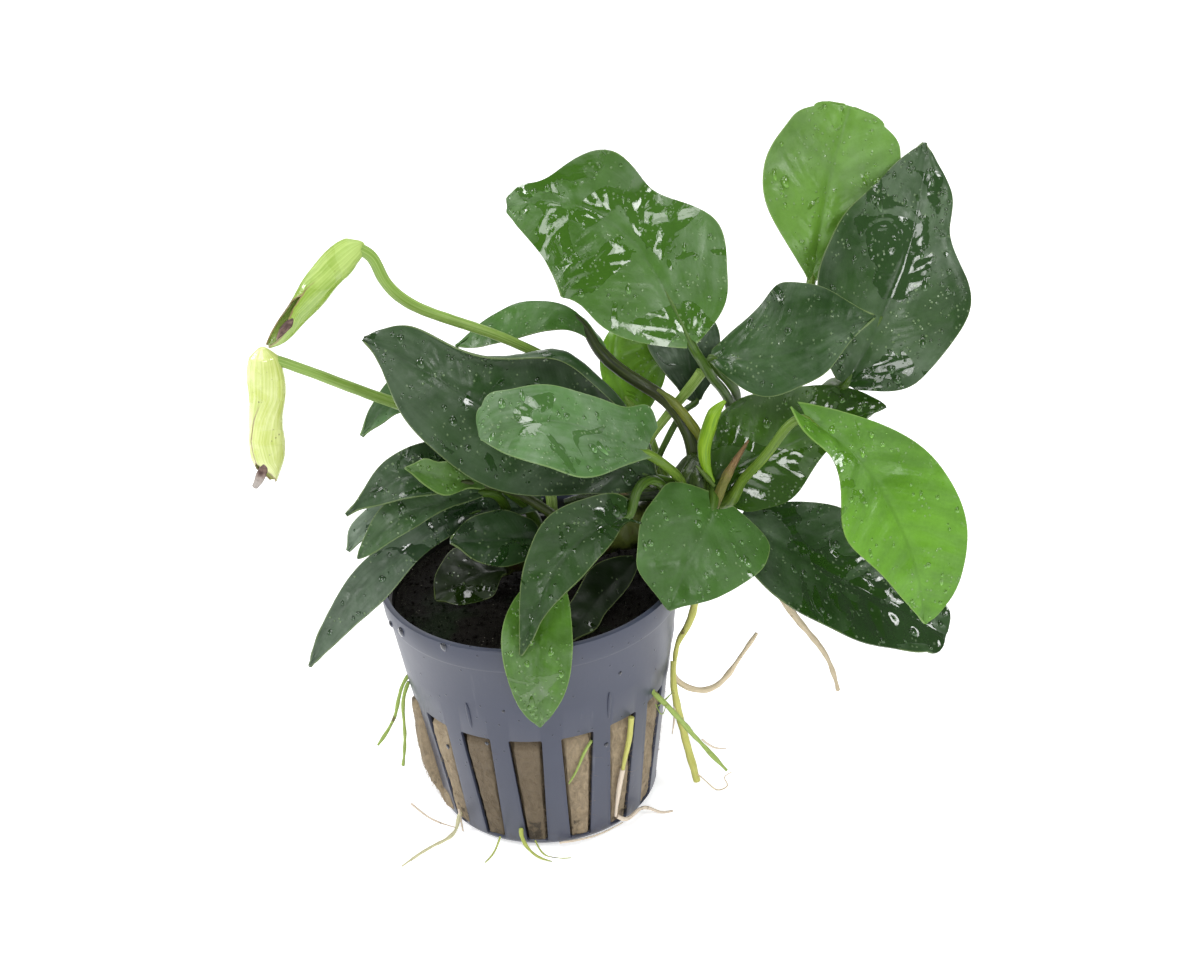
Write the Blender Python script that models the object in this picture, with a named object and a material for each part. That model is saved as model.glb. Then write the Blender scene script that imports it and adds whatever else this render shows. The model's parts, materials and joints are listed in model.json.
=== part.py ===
"""Potted dwarf anubias: a slotted net pot with rockwool and soil, a creeping rhizome, leaves on
stalks, two spent flowers and loose roots. Run it with blender --background --python part.py.
The tables are in millimetres. The origin is the centre of the pot's underside, +Z is up, and
the front of the plant faces -Y."""

import math

import bmesh
import bpy
import numpy as np

MM = 0.001
GAP = 0.3

# Pot
POT_HEIGHT = 48.0
POT_BASE_RADIUS = 20.2  # where the slope of the wall would meet the floor
POT_FOOT_RADIUS = 18.7
POT_WALL_RADIUS = 26.5
POT_RIM_RADIUS = 27.5
COLLAR_HEIGHT = 4.8
WALL = 1.0
FLOOR = 1.0
SLOTS = 16
SLOT_WIDTH = 5.6
SLOT_BOTTOM = 1.8
SLOT_TOP = 26.8
SLOT_TAPER = 0.25  # how much narrower a slot is at its bottom
FIRST_SLOT = -6.9

# Filling
ROCKWOOL_TOP = 36.0
SOIL_TOP = 43.4

# Leaves
MARGIN_THICKNESS = 0.5
RIB_THICKNESS = 0.9
STALK_SIDES = 5

# Rhizome
RHIZOME_PATH = ((-9, 4, 48.4), (4, 5, 49), (17, 5.5, 51.5), (28, 6, 54), (36, 6, 55.5))
RHIZOME_RADII = (2, 3.6, 3.2, 3.7, 3.3, 3.9, 3.5, 4.2, 3.9, 4.6, 4.2, 2.6)

DARK = (0.035, 0.10, 0.03)
MID = (0.06, 0.17, 0.035)
BRIGHT = (0.13, 0.30, 0.04)
PALE = (0.20, 0.34, 0.12)
STALK_GREEN = (0.14, 0.24, 0.03)

# The places along a midrib, from its base to its tip, at which the half widths are given.
PLACES = (0, 0.06, 0.18, 0.34, 0.5, 0.66, 0.82, 0.94, 1)

LEAF_DEFAULTS = dict(
    lobe=0.0,
    face=((0, -0.8, 0.6), (0, -0.8, 0.6)),
    fold=(12, 12),
    curl=(0, 0),
    late=1,
    waves=(),
    rows=8,
    across=(-1, -0.6, -0.25, 0, 0.25, 0.6, 1),
    stalk=(),
    stalk_radius=0.85,
    color=DARK,
)

NARROW = (-1, -0.45, 0, 0.45, 1)

# rib: the midrib from the base to the tip. left and right: the half widths at PLACES, as seen
# with the tip up. lobe: how far the base reaches back past the stalk. face: the way the upper
# side looks, at the base and at the tip. fold and curl: degrees by which the left and the right
# half rise at the rib, and bend on as far as the margin, as one number or as its values from the
# base to the tip. late: how far out the bend gathers. waves: (side, place, spread, lift) of each
# swelling of a margin. across: the columns of points, from the left margin to the right one.
# stalk: its path up to the base.
LEAVES = {
    "leaf_top_middle": dict(
        rib=((30.4, -3, 93.4), (26, 1, 103), (17.5, 5, 113), (7.7, 6.5, 116.2), (1.3, 10, 114.3)),
        left=(1, 5.5, 11.5, 13.5, 15, 14.5, 9, 4, 1), right=(1, 6.5, 11, 13.5, 9, 10.5, 4, 3, 1.5),
        face=((-0.1, -0.85, 0.5), (-0.2, -0.75, 0.6)), fold=(8, 8),
        waves=(("R", 0.5, 0.08, -3), ("R", 0.68, 0.1, 2)), lobe=1.5,
        stalk=((34.8, 8.5, 61), (37.1, 10.5, 65.7), (37.9, 10.5, 72.8), (35, 6, 80.4),
               (32.6, 1.5, 86.8)),
        rows=11,
    ),
    "leaf_top_right": dict(
        rib=((53.6, 15, 94.2), (55.8, 20, 102.4), (58.8, 25, 111.6), (62.4, 29, 120.9)),
        left=(0.8, 2.5, 6, 10.5, 12.5, 12, 9.5, 7, 1), right=(0.8, 2, 5, 8.5, 11, 12, 11.5, 8, 1),
        face=((0.1, -0.9, 0.4), (0.1, -0.8, 0.6)), fold=(14, 14),
        stalk=((39, 12.5, 57.5), (45.5, 16.5, 70.2), (50.7, 18, 82.2)),
        color=BRIGHT,
        rows=7,
    ),
    "leaf_right_large": dict(
        rib=((58.3, 6, 77.7), (64.6, 10, 86.9), (70.3, 15, 97.7), (73.5, 20, 106.8), (75, 24, 115)),
        left=(2, 6.5, 10.5, 14, 14.5, 13, 8.5, 4, 0.3), right=(2, 7.5, 11.5, 13.5, 13, 7, 6, 2, 0.3),
        face=((0, -0.9, 0.45), (0.1, -0.9, 0.3)), fold=(12, 12), curl=(0, (0, -40, -80)), late=4,
        stalk=((40.5, 10, 60.5), (46, 14, 64.8), (54, 14.8, 71), (57.3, 9.3, 76.4)),
        rows=9,
    ),
    "leaf_right_middle": dict(
        rib=((34.6, 7.2, 84.2), (42.9, 2, 86.1), (53, -2, 90.7), (62, -4, 95.5)),
        left=(1.5, 4, 7.5, 11, 12.5, 11, 7.5, 2.5, 0.3), right=(0.8, 2, 4.5, 7, 6.5, 5.5, 2.5, 1, 0.3),
        face=((0, -0.6, 0.8), (0, -0.6, 0.8)), fold=(10, -20),
        stalk=((35.5, 12.5, 57), (38.6, 14.5, 65), (39.3, 12.3, 72.9), (36.6, 8, 80.4)),
        rows=8,
    ),
    "leaf_left_large": dict(
        rib=((23.4, 0, 64.8), (10.5, -3, 73.2), (-2.7, -5, 82.2), (-14, -4, 90.4), (-24.9, -1, 96.8)),
        left=(1, 3, 5.5, 9.5, 12, 11, 7.5, 2, 0.3), right=(1, 6, 12.5, 17.3, 18, 12, 6, 3, 0.3),
        face=((0, -0.8, 0.6), (-0.1, -0.8, 0.6)), fold=(8, 8), curl=(0, (200, 180, -40)), late=5,
        stalk=((27.6, 3.4, 59.2), (25.9, 1.6, 62.8)),
        rows=9, across=(-1, -0.5, 0, 0.4, 0.75, 0.88, 1),
    ),
    "leaf_front_light": dict(
        rib=((21.8, -8, 74.6), (14.2, -12, 80.9), (4.3, -15, 85.6), (-5.8, -17, 84.5)),
        left=(0.8, 2.5, 5, 8.5, 10.5, 10, 7.5, 3.5, 0.5), right=(4, 7.5, 6.5, 6, 6, 6.5, 6.5, 5, 0.2),
        face=((0, -0.6, 0.8), (0, -0.6, 0.8)), lobe=2,
        stalk=((29.6, 1.4, 59.8), (28, -0.4, 64), (25, -5.5, 70.5)),
        rows=8, color=MID,
    ),
    "leaf_heart": dict(
        rib=((33.1, -5, 61.3), (30.4, -10, 58.4), (27.3, -15, 54.1), (24, -18, 48.4)),
        left=(3, 9, 12.5, 12.5, 11, 8.5, 5, 1.5, 0.2), right=(3, 8, 10, 10.5, 10, 9, 7, 2.5, 0.2),
        face=((0.1, -0.8, 0.6), (0, -0.9, 0.4)), fold=(5, 5), curl=(-10, -10), lobe=3,
        stalk=((33.4, 1.4, 60.7),),
        rows=8, color=MID,
    ),
    "leaf_right_light": dict(
        rib=((49.9, -6, 77.9), (57.2, -11, 72.8), (63.6, -15, 63.2), (67.2, -17, 52.4),
             (69.2, -17, 41)),
        left=(1.5, 3, 6, 10, 11.5, 11, 8, 4, 0.2), right=(2.5, 3, 3.5, 7, 9.5, 7, 4, 1.5, 0.2),
        face=((0.2, -0.6, 0.8), (0.3, -0.95, 0.2)), fold=(10, (-50, 5, 5)), lobe=3,
        stalk=((36.9, 1, 59), (38.6, -1.5, 63.5), (43.6, -5, 71.6)),
        rows=8, color=BRIGHT,
    ),
    "leaf_right_low": dict(
        rib=((38.3, 1.5, 54.5), (48.7, -2, 47.7), (60.9, -5, 40.4), (74.4, -7, 31.5)),
        left=(2.5, 5, 9, 12, 12, 10.5, 8, 5.5, 1.5), right=(3, 6, 9, 10.5, 10.5, 10, 7.5, 5, 2.5),
        face=((0.3, -0.6, 0.75), (0.3, -0.6, 0.75)), fold=(6, 6),
        rows=8,
    ),
    "leaf_right_behind": dict(
        rib=((35.1, 3, 62.2), (45.2, 4, 66.1), (55.3, 5.5, 70.0), (65.7, 8, 71.5)),
        left=(1, 7, 10.5, 11.5, 10, 8, 5.5, 2.5, 0.3), right=(1, 4.5, 7, 8, 5.5, 3.5, 2, 0.5, 0.2),
        face=((0, -0.95, 0.35), (0, -0.8, 0.6)), fold=(6, 6),
        across=(-1, -0.6, -0.25, 0, 0.25, 0.6, 1),
        rows=7,
    ),
    "leaf_folded_back": dict(
        rib=((16.2, 11, 84.9), (14.1, 13, 88.5), (10.9, 14, 92), (6.2, 15, 93.6), (-0.1, 16, 92.5),
             (-6.1, 16, 89.6), (-10.5, 16, 86)),
        left=(0.5, 1, 2.5, 5, 6.5, 6.5, 5, 2.5, 0.3), right=(2, 6, 8, 9, 9, 7, 4.5, 2, 0.3),
        face=((0, -0.5, 0.85), (0, -0.3, 0.95)), fold=(-10, -75),
        stalk=((30.4, 4.8, 60.3), (30.2, 5, 69.5), (28.7, 6.5, 73), (26.3, 8.5, 75.8), (23.8, 10, 77.4)),
        stalk_radius=1.2,
        rows=7, color=MID,
    ),
    "leaf_back_pale": dict(
        rib=((22, 18, 67), (19.5, 18, 71.5), (17.7, 19, 76.5), (18, 21, 81), (19.8, 23, 85)),
        left=(1, 5.5, 9, 10, 10, 10, 9.5, 8.5, 3.5), right=(0.8, 2, 3, 2.5, 2.5, 2.5, 2, 1, 0.3),
        face=((0, 0.8, -0.6), (0, 0.8, -0.6)),
        stalk=((25, 11, 58.5), (23.5, 14, 64)), stalk_radius=1.0,
        rows=7, across=NARROW, color=BRIGHT,
    ),
    "leaf_back_grey": dict(
        rib=((32.2, 13.5, 72.6), (31.3, 15, 78.1), (30.6, 18, 83.7), (30.2, 20, 87.8)),
        left=(0.8, 2, 3, 4.5, 6, 7, 6.5, 5, 3.5), right=(0.8, 1.5, 3.5, 5, 6, 6.5, 6, 4, 1.5),
        stalk=((22.3, 9.5, 56.5), (24, 9.5, 62.5), (27.3, 10.5, 68.6), (30.8, 12.5, 72)),
        stalk_radius=0.6,
        rows=7, across=NARROW,
    ),
    "leaf_far_left": dict(
        rib=((-11.9, 12.6, 79.6), (-18.2, 11.6, 79.1), (-23.7, 10.4, 77.2), (-28.4, 8, 73.2)),
        left=(0.8, 2, 2.5, 3, 2.5, 2, 1.5, 0.5, 0.3), right=(1, 2, 3.5, 4.5, 4, 2.5, 1.5, 0.5, 0.2),
        stalk=((12, 8, 55.5), (3, 9.5, 68)),
        rows=5, across=NARROW, color=MID,
    ),
    "leaf_left_upper": dict(
        rib=((-7.2, -5, 70.1), (-15.4, -9, 74.7), (-23.1, -12, 73.8), (-30.2, -14, 69.8)),
        left=(0.8, 2, 3.5, 4.5, 4.5, 3.5, 2, 0.5, 0.2), right=(0.8, 1.5, 4, 5, 4.5, 3.5, 1.5, 0.5, 0.2),
        stalk=((1.5, 5.2, 53.2), (-1, 1.5, 61.5)),
        rows=6, across=NARROW,
    ),
    "leaf_left_small": dict(
        rib=((-6.1, -8.5, 70.8), (-13.4, -13, 75.2), (-18.9, -16.5, 79.5)),
        left=(0.6, 1, 1, 2, 3, 2.5, 1.5, 0.5, 0.2), right=(0.6, 1, 2, 2.5, 3, 2.5, 2.5, 1, 0.2),
        stalk=((8.5, 0.5, 54), (2, -4.5, 64)),
        rows=5, across=NARROW, color=BRIGHT,
    ),
    "leaf_left_lower": dict(
        rib=((-7.3, -5, 67.3), (-15.8, -9, 67.7), (-23.6, -13, 66.1), (-29, -15, 61.6)),
        left=(0.6, 0.5, 1, 1.5, 2.5, 2.5, 2, 0.5, 0.2), right=(0.6, 1.5, 2.5, 3, 3.5, 3.5, 2, 0.5, 0.2),
        stalk=((-2, 4, 53), (-3.5, 1, 60.5)),
        rows=6, across=NARROW,
    ),
    "leaf_left_grey": dict(
        rib=((-21.5, -4, 66.4), (-27.7, -7, 63.6), (-31.4, -9, 59.6)),
        left=(0.8, 1, 1, 1, 1, 1.5, 1, 0.5, 0.2), right=(1, 1, 1.5, 2, 2, 2, 1.5, 0.5, 0.2),
        stalk=((-8, 6.5, 51.5), (-12.5, 2.5, 63)),
        rows=5, across=NARROW,
    ),
    "leaf_left_long": dict(
        rib=((-9.9, -1, 60.9), (-22, -10, 59), (-32, -18, 54), (-38.1, -27, 48)),
        left=(1, 2, 2.5, 2.5, 4, 4.5, 3, 1.5, 0.2), right=(2, 3, 3, 3, 3, 2, 1.5, 1, 0.2),
        stalk=((-6, 4, 52.5), (-8, 1.5, 57)),
        rows=6, across=NARROW,
    ),
    "leaf_front_left": dict(
        rib=((2.1, -1.5, 54.9), (-4.9, -6, 57.8), (-13.2, -8.5, 59.8)),
        left=(1.5, 2, 3.5, 4.5, 5, 4.5, 3, 1, 0.2), right=(1.5, 3, 4, 5, 5.5, 5, 4, 2, 0.5),
        rows=6, across=NARROW,
    ),
    "leaf_front_dark": dict(
        rib=((18.1, -10, 63.1), (13.4, -13.5, 63.5), (7.6, -17, 61), (2.9, -23, 57.1),
             (-1.9, -29.5, 48.9)),
        left=(2, 1, 3, 4.5, 4.5, 3, 1.5, 1, 0.2), right=(2, 4, 5.5, 7, 6, 4.5, 2.5, 1, 0.2),
        lobe=2,
        stalk=((25.7, 0.5, 58.5), (24.5, -1.5, 64), (21.5, -5, 67), (19.6, -8, 66)),
        rows=7,
    ),
    "leaf_front_hanging": dict(
        rib=((4, -13, 57.3), (2.6, -20, 52.5), (1, -28, 48.8), (0.3, -30, 34.3)),
        left=(0.8, 1.5, 3.5, 5, 6, 6, 4.5, 2, 0.2), right=(0.8, 1.5, 4, 6, 6.5, 5.5, 4, 2, 0.2),
        stalk=((11.5, 0.8, 54.5), (8, -6, 57)),
        rows=6, across=(-1, -0.6, -0.25, 0, 0.25, 0.6, 1), color=BRIGHT,
    ),
    "leaf_soil_left": dict(
        rib=((-4.5, -0.1, 48), (-11, -1, 47), (-17.4, -3.8, 45)),
        left=(0.8, 1, 3.5, 4.5, 4.5, 4, 3, 1, 0.2), right=(0.8, 3, 4.5, 5.5, 6.5, 5.5, 4, 2, 0.2),
        rows=5, across=NARROW,
    ),
    "leaf_soil_right": dict(
        rib=((19.1, -1.5, 49), (12.2, -8, 46.2), (6.6, -18, 43.9)),
        left=(1, 1.5, 2.5, 3, 3, 3, 3, 1.5, 0.5), right=(1, 2, 3.5, 4.5, 4, 3.5, 3, 1, 0.2),
        rows=5, across=NARROW,
    ),
}

# Tubes: name, path, radii along the path, sides, rings, colour
TUBES = {
    "flower_stalk_upper": (((-22.9, 8, 108), (-21.4, 8, 104.2), (-18.6, 8, 99.8), (-12.2, 9, 95.2),
                            (-2.9, 9.3, 90.7), (5.5, 10.5, 85), (13.1, 10, 79.1), (18, 8, 72.7),
                            (21.1, 6.2, 65), (21.5, 5.5, 57.6)),
                           (0.9, 0.8, 0.9), 5, 15, STALK_GREEN),
    "flower_stalk_lower": (((-39.8, 4, 90.9), (-30.6, 5.5, 85.3), (-21.6, 7.5, 79.6), (-12.3, 8, 74.7),
                            (-3.7, 6, 70), (2.2, 3, 66.5), (4.5, 1.5, 63.1), (4.7, 1.5, 58.5), (5.1, 3, 53.8)),
                           (0.8, 0.9, 0.9), 5, 13, STALK_GREEN),
    "flower_upper": (((-23.7, 8, 110.4), (-28.8, 6.5, 106.8), (-33.4, 5.5, 102.5), (-37.6, 5, 98.7),
                      (-41.9, 4, 94.4)), (0.9, 2.2, 2.7, 2.5, 1.6, 0.4), 8, 10, BRIGHT),
    "flower_lower": (((-43, 4, 93.7), (-43.4, 3.5, 87), (-44.6, 3, 78.4), (-46.4, 3, 67.6)),
                     (1.0, 2.8, 3.0, 2.9, 2.6, 1.2), 8, 9, PALE),
    "young_leaf": (((32.4, 0, 63.6), (32.2, -0.3, 67.5), (32.4, 0, 71.8), (33.7, 0.7, 75.7), (35.9, 1, 78.5)),
                   (0.5, 1.1, 1.3, 1.2, 0.8, 0.2), 6, 8, BRIGHT),
    "brown_sheath": (((35.1, -0.6, 59.7), (37.2, -0.8, 65), (40.2, 0, 71.1)), (0.9, 0.9, 0.2), 6, 5,
                     (0.23, 0.14, 0.05)),
    "cut_stalk": (((19, 8.6, 57), (21.8, 8.4, 65.8), (26.7, 9.8, 72.2), (30.9, 9.8, 77.3), (33, 9.3, 80.4)),
                  (0.8, 0.7, 0.9), 6, 5, STALK_GREEN),
    "root_right_upper": (((28.9, -3, 38.4), (28.2, -3, 36.1), (25.8, -4, 32.2), (24.9, -4.8, 28)),
                         (0.5, 0.4), 5, 7, (0.6, 0.5, 0.25)),
    "root_right_long": (((24.7, -5.1, 25.9), (29.5, -6, 22.7), (36.6, -5.5, 28.5), (40.2, -4.5, 33.4)),
                        (0.6, 0.4), 5, 9, (0.6, 0.45, 0.28)),
    "root_right_green": (((21.2, -13.5, 27.3), (27.9, -11, 15.7), (33.3, -10, 7.1)), (0.45, 0.35), 5, 6,
                         (0.35, 0.45, 0.15)),
    "root_right_thick": (((24.5, -6.7, 27), (25.4, -7, 16.6), (27.8, -7.4, 3.2)), (0.5, 0.7), 5, 6,
                         (0.35, 0.45, 0.15)),
    "root_left": (((-24.9, -4.6, 28.2), (-27.2, -5, 21.4), (-31, -6, 15.6)), (0.35, 0.3), 5, 5,
                  (0.35, 0.45, 0.15)),
    "root_left_straight": (((-24.8, -5.1, 26.7), (-25.7, -6, 18.6), (-26.8, -6, 10.6)), (0.35, 0.3), 5, 5,
                           (0.35, 0.45, 0.15)),
    "root_hanging": (((46.3, 4, 34.2), (48.6, 4, 30), (51.7, 4, 25.3), (54.1, 4, 20.6), (55.9, 4, 13.6)),
                     (0.8, 0.7, 0.4), 5, 9, (0.6, 0.5, 0.3)),
    "root_floor_left": (((-16.7, -12.1, 3.2), (-17.5, -13.7, 1.2), (-21.3, -17.7, 0.7), (-27.4, -23.4, 0.7)),
                        (0.4, 0.4), 5, 8, (0.5, 0.55, 0.3)),
    "root_floor_front": (((-5.3, -20.8, 4.2), (-4.7, -21.6, 2.2), (-3.1, -22.8, 0.7), (0, -25, 0.6)),
                         (0.4, 0.4), 5, 8, (0.35, 0.45, 0.15)),
}


def smooth_line(knots, p, u):
    """The values, and their slopes, at u of a smooth line that has the values p at the knots."""
    knots = np.array(knots, float)
    u = np.asarray(u, float)
    h = np.diff(knots)
    n = len(knots)
    rows = np.eye(n)
    right = np.zeros(p.shape)
    for i in range(1, n - 1):
        rows[i, i - 1 : i + 2] = h[i - 1], 2 * (h[i - 1] + h[i]), h[i]
        right[i] = 6 * ((p[i + 1] - p[i]) / h[i] - (p[i] - p[i - 1]) / h[i - 1])
    bend = np.linalg.solve(rows, right)
    i = np.clip(np.searchsorted(knots, u, side="right") - 1, 0, n - 2)
    a = ((knots[i + 1] - u) / h[i])[:, None]
    b = 1 - a
    hh = h[i][:, None]
    at = a * p[i] + b * p[i + 1] + ((a**3 - a) * bend[i] + (b**3 - b) * bend[i + 1]) * hh**2 / 6
    slope = (p[i + 1] - p[i]) / hh + ((3 * b**2 - 1) * bend[i + 1] - (3 * a**2 - 1) * bend[i]) * hh / 6
    return at, slope


def spline(points, places):
    """Positions and unit tangents at these places, 0 to 1, of a smooth curve through the points."""
    p = np.array(points, float)
    knots = np.concatenate([[0], np.cumsum(np.linalg.norm(np.diff(p, axis=0), axis=1))])
    at, slope = smooth_line(knots / knots[-1], p, places)
    return at, slope / np.linalg.norm(slope, axis=1)[:, None]


def along(value, s):
    """One number, or the smooth run of its values from the base to the tip."""
    if np.isscalar(value):
        return np.full(len(s), float(value))
    return np.polyval(np.polyfit(np.linspace(0, 1, len(value)), value, len(value) - 1), s)


def half_width(widths, s):
    """The half width at these places, on a smooth line through those of the table."""
    return smooth_line(PLACES, np.array(widths, float)[:, None], s)[0][:, 0]


def leaf_surface(leaf, s, t):
    """Points of the blade's middle surface. s runs from base to tip, t from the left margin, -1,
    to the right margin, 1."""
    s = np.asarray(s, float)
    t = np.asarray(t, float)
    rib, tangent = spline(leaf["rib"], s)
    faces = np.array(leaf["face"], float)
    faces /= np.linalg.norm(faces, axis=1)[:, None]
    face = faces[0] * (1 - s[:, None]) + faces[1] * s[:, None]
    normal = face - tangent * np.sum(face * tangent, axis=1)[:, None]
    normal /= np.linalg.norm(normal, axis=1)[:, None]
    side = np.cross(tangent, normal)
    steps = np.linspace(0, 1, 25)
    points = np.zeros((len(s), len(t), 3))
    for which, sign in ((0, -1), (1, 1)):
        mine = t < 0 if sign < 0 else t >= 0
        reach = np.abs(t[mine])
        fold = along(leaf["fold"][which], s)
        curl = along(leaf["curl"][which], s)
        widths = half_width(leaf["right" if which else "left"], s)
        for row in range(len(s)):
            angle = np.radians(fold[row] + curl[row] * steps ** leaf["late"])
            out = np.concatenate([[0], np.cumsum((np.cos(angle[1:]) + np.cos(angle[:-1])) / 2)]) / 24
            up = np.concatenate([[0], np.cumsum((np.sin(angle[1:]) + np.sin(angle[:-1])) / 2)]) / 24
            across = widths[row] * np.interp(reach, steps, out)
            rise = widths[row] * np.interp(reach, steps, up)
            back = leaf["lobe"] * math.exp(-((s[row] / 0.2) ** 2)) * reach**1.5
            for wave_side, place, spread, lift in leaf["waves"]:
                if (wave_side == "L") == (sign < 0):
                    rise = rise + lift * math.exp(-(((s[row] - place) / spread) ** 2)) * reach**2
            points[row, mine] = (
                rib[row]
                + side[row] * (sign * across)[:, None]
                + normal[row] * rise[:, None]
                - tangent[row] * back[:, None]
            )
    return points


def stations(count):
    """Places from base to tip, closer together at both ends."""
    even = np.linspace(0, 1, count + 1)
    return 0.5 * even + 0.5 * (0.5 - 0.5 * np.cos(np.pi * even))


def new_object(name, mesh, color, roughness=0.35):
    """An object of this mesh with its own material."""
    material = bpy.data.materials.new(name)
    material.use_nodes = True
    shader = material.node_tree.nodes["Principled BSDF"]
    shader.inputs["Base Color"].default_value = (*color, 1)
    shader.inputs["Roughness"].default_value = roughness
    shader.inputs["Metallic"].default_value = 0.0
    material.diffuse_color = (*color, 1)
    mesh.materials.append(material)
    made = bpy.data.objects.new(name, mesh)
    bpy.context.scene.collection.objects.link(made)
    return made


def mesh_of(name, bm, turn=True):
    """A finished mesh, smooth but for its sharp edges. turn sets its faces outwards."""
    if turn:
        bmesh.ops.recalc_face_normals(bm, faces=bm.faces[:])
    mesh = bpy.data.meshes.new(name)
    bm.to_mesh(mesh)
    bm.free()
    mesh.shade_smooth()
    mesh.set_sharp_from_angle(angle=math.radians(50))
    return mesh


def add_ring(bm, points):
    return [bm.verts.new([value * MM for value in point]) for point in points]


def join_rings(bm, lower, upper):
    """A band of four-sided faces between two closed rings of equal count."""
    count = len(lower)
    for i in range(count):
        j = (i + 1) % count
        bm.faces.new((lower[i], lower[j], upper[j], upper[i]))


def blade_mesh(name, leaf):
    """The blade as a thin closed solid, thicker along the rib than at the margins."""
    s = stations(leaf["rows"])
    t = np.array(leaf["across"], float)
    middle = leaf_surface(leaf, s, t)
    normals = np.cross(np.gradient(middle, axis=1), np.gradient(middle, axis=0))
    normals /= np.linalg.norm(normals, axis=2)[:, :, None]
    thick = MARGIN_THICKNESS + (RIB_THICKNESS - MARGIN_THICKNESS) * (1 - np.abs(t)) ** 2
    shift = normals * (thick / 2)[None, :, None]
    bm = bmesh.new()
    rings = []
    for upper, lower in zip(middle + shift, middle - shift):
        rings.append(add_ring(bm, list(upper) + list(lower[::-1])))
    for first, second in zip(rings, rings[1:]):
        join_rings(bm, first, second)
    columns = len(t) - 1
    for i in range(columns):
        bm.faces.new((rings[0][-1 - i], rings[0][-2 - i], rings[0][i + 1], rings[0][i]))
        bm.faces.new((rings[-1][i], rings[-1][i + 1], rings[-1][-2 - i], rings[-1][-1 - i]))
    return mesh_of(name, bm, turn=False)


def tube_mesh(name, path, radii, sides, rings):
    """A closed tube along a smooth curve, its radius running through these values."""
    places = np.linspace(0, 1, rings)
    centres, tangents = spline(path, places)
    sizes = np.interp(places, np.linspace(0, 1, len(radii)), radii)
    across = np.cross(tangents[0], (0.3, 0.5, 0.8) if abs(tangents[0][2]) < 0.9 else (1, 0, 0))
    bm = bmesh.new()
    made = []
    for centre, tangent, size in zip(centres, tangents, sizes):
        across = across - tangent * np.dot(across, tangent)
        across = across / np.linalg.norm(across)
        other = np.cross(tangent, across)
        turns = np.arange(sides) * 2 * math.pi / sides
        corners = [centre + size * (across * math.cos(a) + other * math.sin(a)) for a in turns]
        made.append(add_ring(bm, corners))
    for first, second in zip(made, made[1:]):
        join_rings(bm, first, second)
    bm.faces.new(made[0])
    bm.faces.new(made[-1])
    return mesh_of(name, bm)


def keel_path(leaf):
    """The stalk's path: up to the base, then along the underside of the midrib and into it."""
    s = np.array([0.0, 0.06, 0.16, 0.3])
    edge = leaf_surface(leaf, s, np.array([-0.05, 0.0, 0.05]))
    _, tangent = spline(leaf["rib"], s)
    normal = np.cross(edge[:, 2] - edge[:, 0], tangent)
    normal /= np.linalg.norm(normal, axis=1)[:, None]
    drop = np.array([0.5, 0.75, 0.6, 0.1])[:, None] * leaf["stalk_radius"]
    return list(leaf["stalk"]) + [tuple(point) for point in edge[:, 1] - normal * drop]


def add_leaf(name, values):
    """A blade, with its stalk united to it."""
    leaf = LEAF_DEFAULTS | values
    blade = new_object(name, blade_mesh(name, leaf), leaf["color"])
    if not leaf["stalk"]:
        return
    path = keel_path(leaf)
    radius = leaf["stalk_radius"]
    length = sum(math.dist(a, b) for a, b in zip(path, path[1:]))
    keel = math.dist(path[-4], path[-1]) / length
    shares = np.interp(np.linspace(0, 1, 21), (0, 1 - keel, 1 - keel / 3, 1), (1.15, 1.0, 0.7, 0.3))
    radii = list(shares * radius)
    rings = int(np.clip(length / 5, 5, 12))
    stalk_name = name.replace("leaf", "stalk")
    stalk = new_object(stalk_name, tube_mesh(stalk_name, path, radii, STALK_SIDES, rings), STALK_GREEN)
    stalk.hide_render = True
    stalk.display_type = "WIRE"
    stalk.parent = blade
    union = blade.modifiers.new("Stalk", "BOOLEAN")
    union.operation = "UNION"
    union.solver = "EXACT"
    union.object = stalk


def wall_radius(z):
    """The pot's outer radius at this height, below the collar."""
    return POT_BASE_RADIUS + (POT_WALL_RADIUS - POT_BASE_RADIUS) * z / (POT_HEIGHT - COLLAR_HEIGHT)


def slot_angles(z):
    """The angles of each slot's left edge, middle and right edge, in turn round the pot."""
    pitch = 360 / SLOTS
    rise = min(max((z - SLOT_BOTTOM) / (SLOT_TOP - SLOT_BOTTOM), 0), 1)
    half = math.degrees(SLOT_WIDTH / 2 / wall_radius((SLOT_BOTTOM + SLOT_TOP) / 2))
    half *= 1 - SLOT_TAPER * (1 - rise)
    angles = []
    for k in range(SLOTS):
        centre = FIRST_SLOT + k * pitch
        angles += [centre - half, centre, centre + half]
    return [math.radians(a) for a in angles]


def around(radius, z, pushes=None):
    """Points at the slot angles. pushes moves single ones out from the axis."""
    points = []
    for i, a in enumerate(slot_angles(z)):
        r = radius + (pushes[i] if pushes else 0)
        points.append((r * math.sin(a), -r * math.cos(a), z))
    return points


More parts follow.
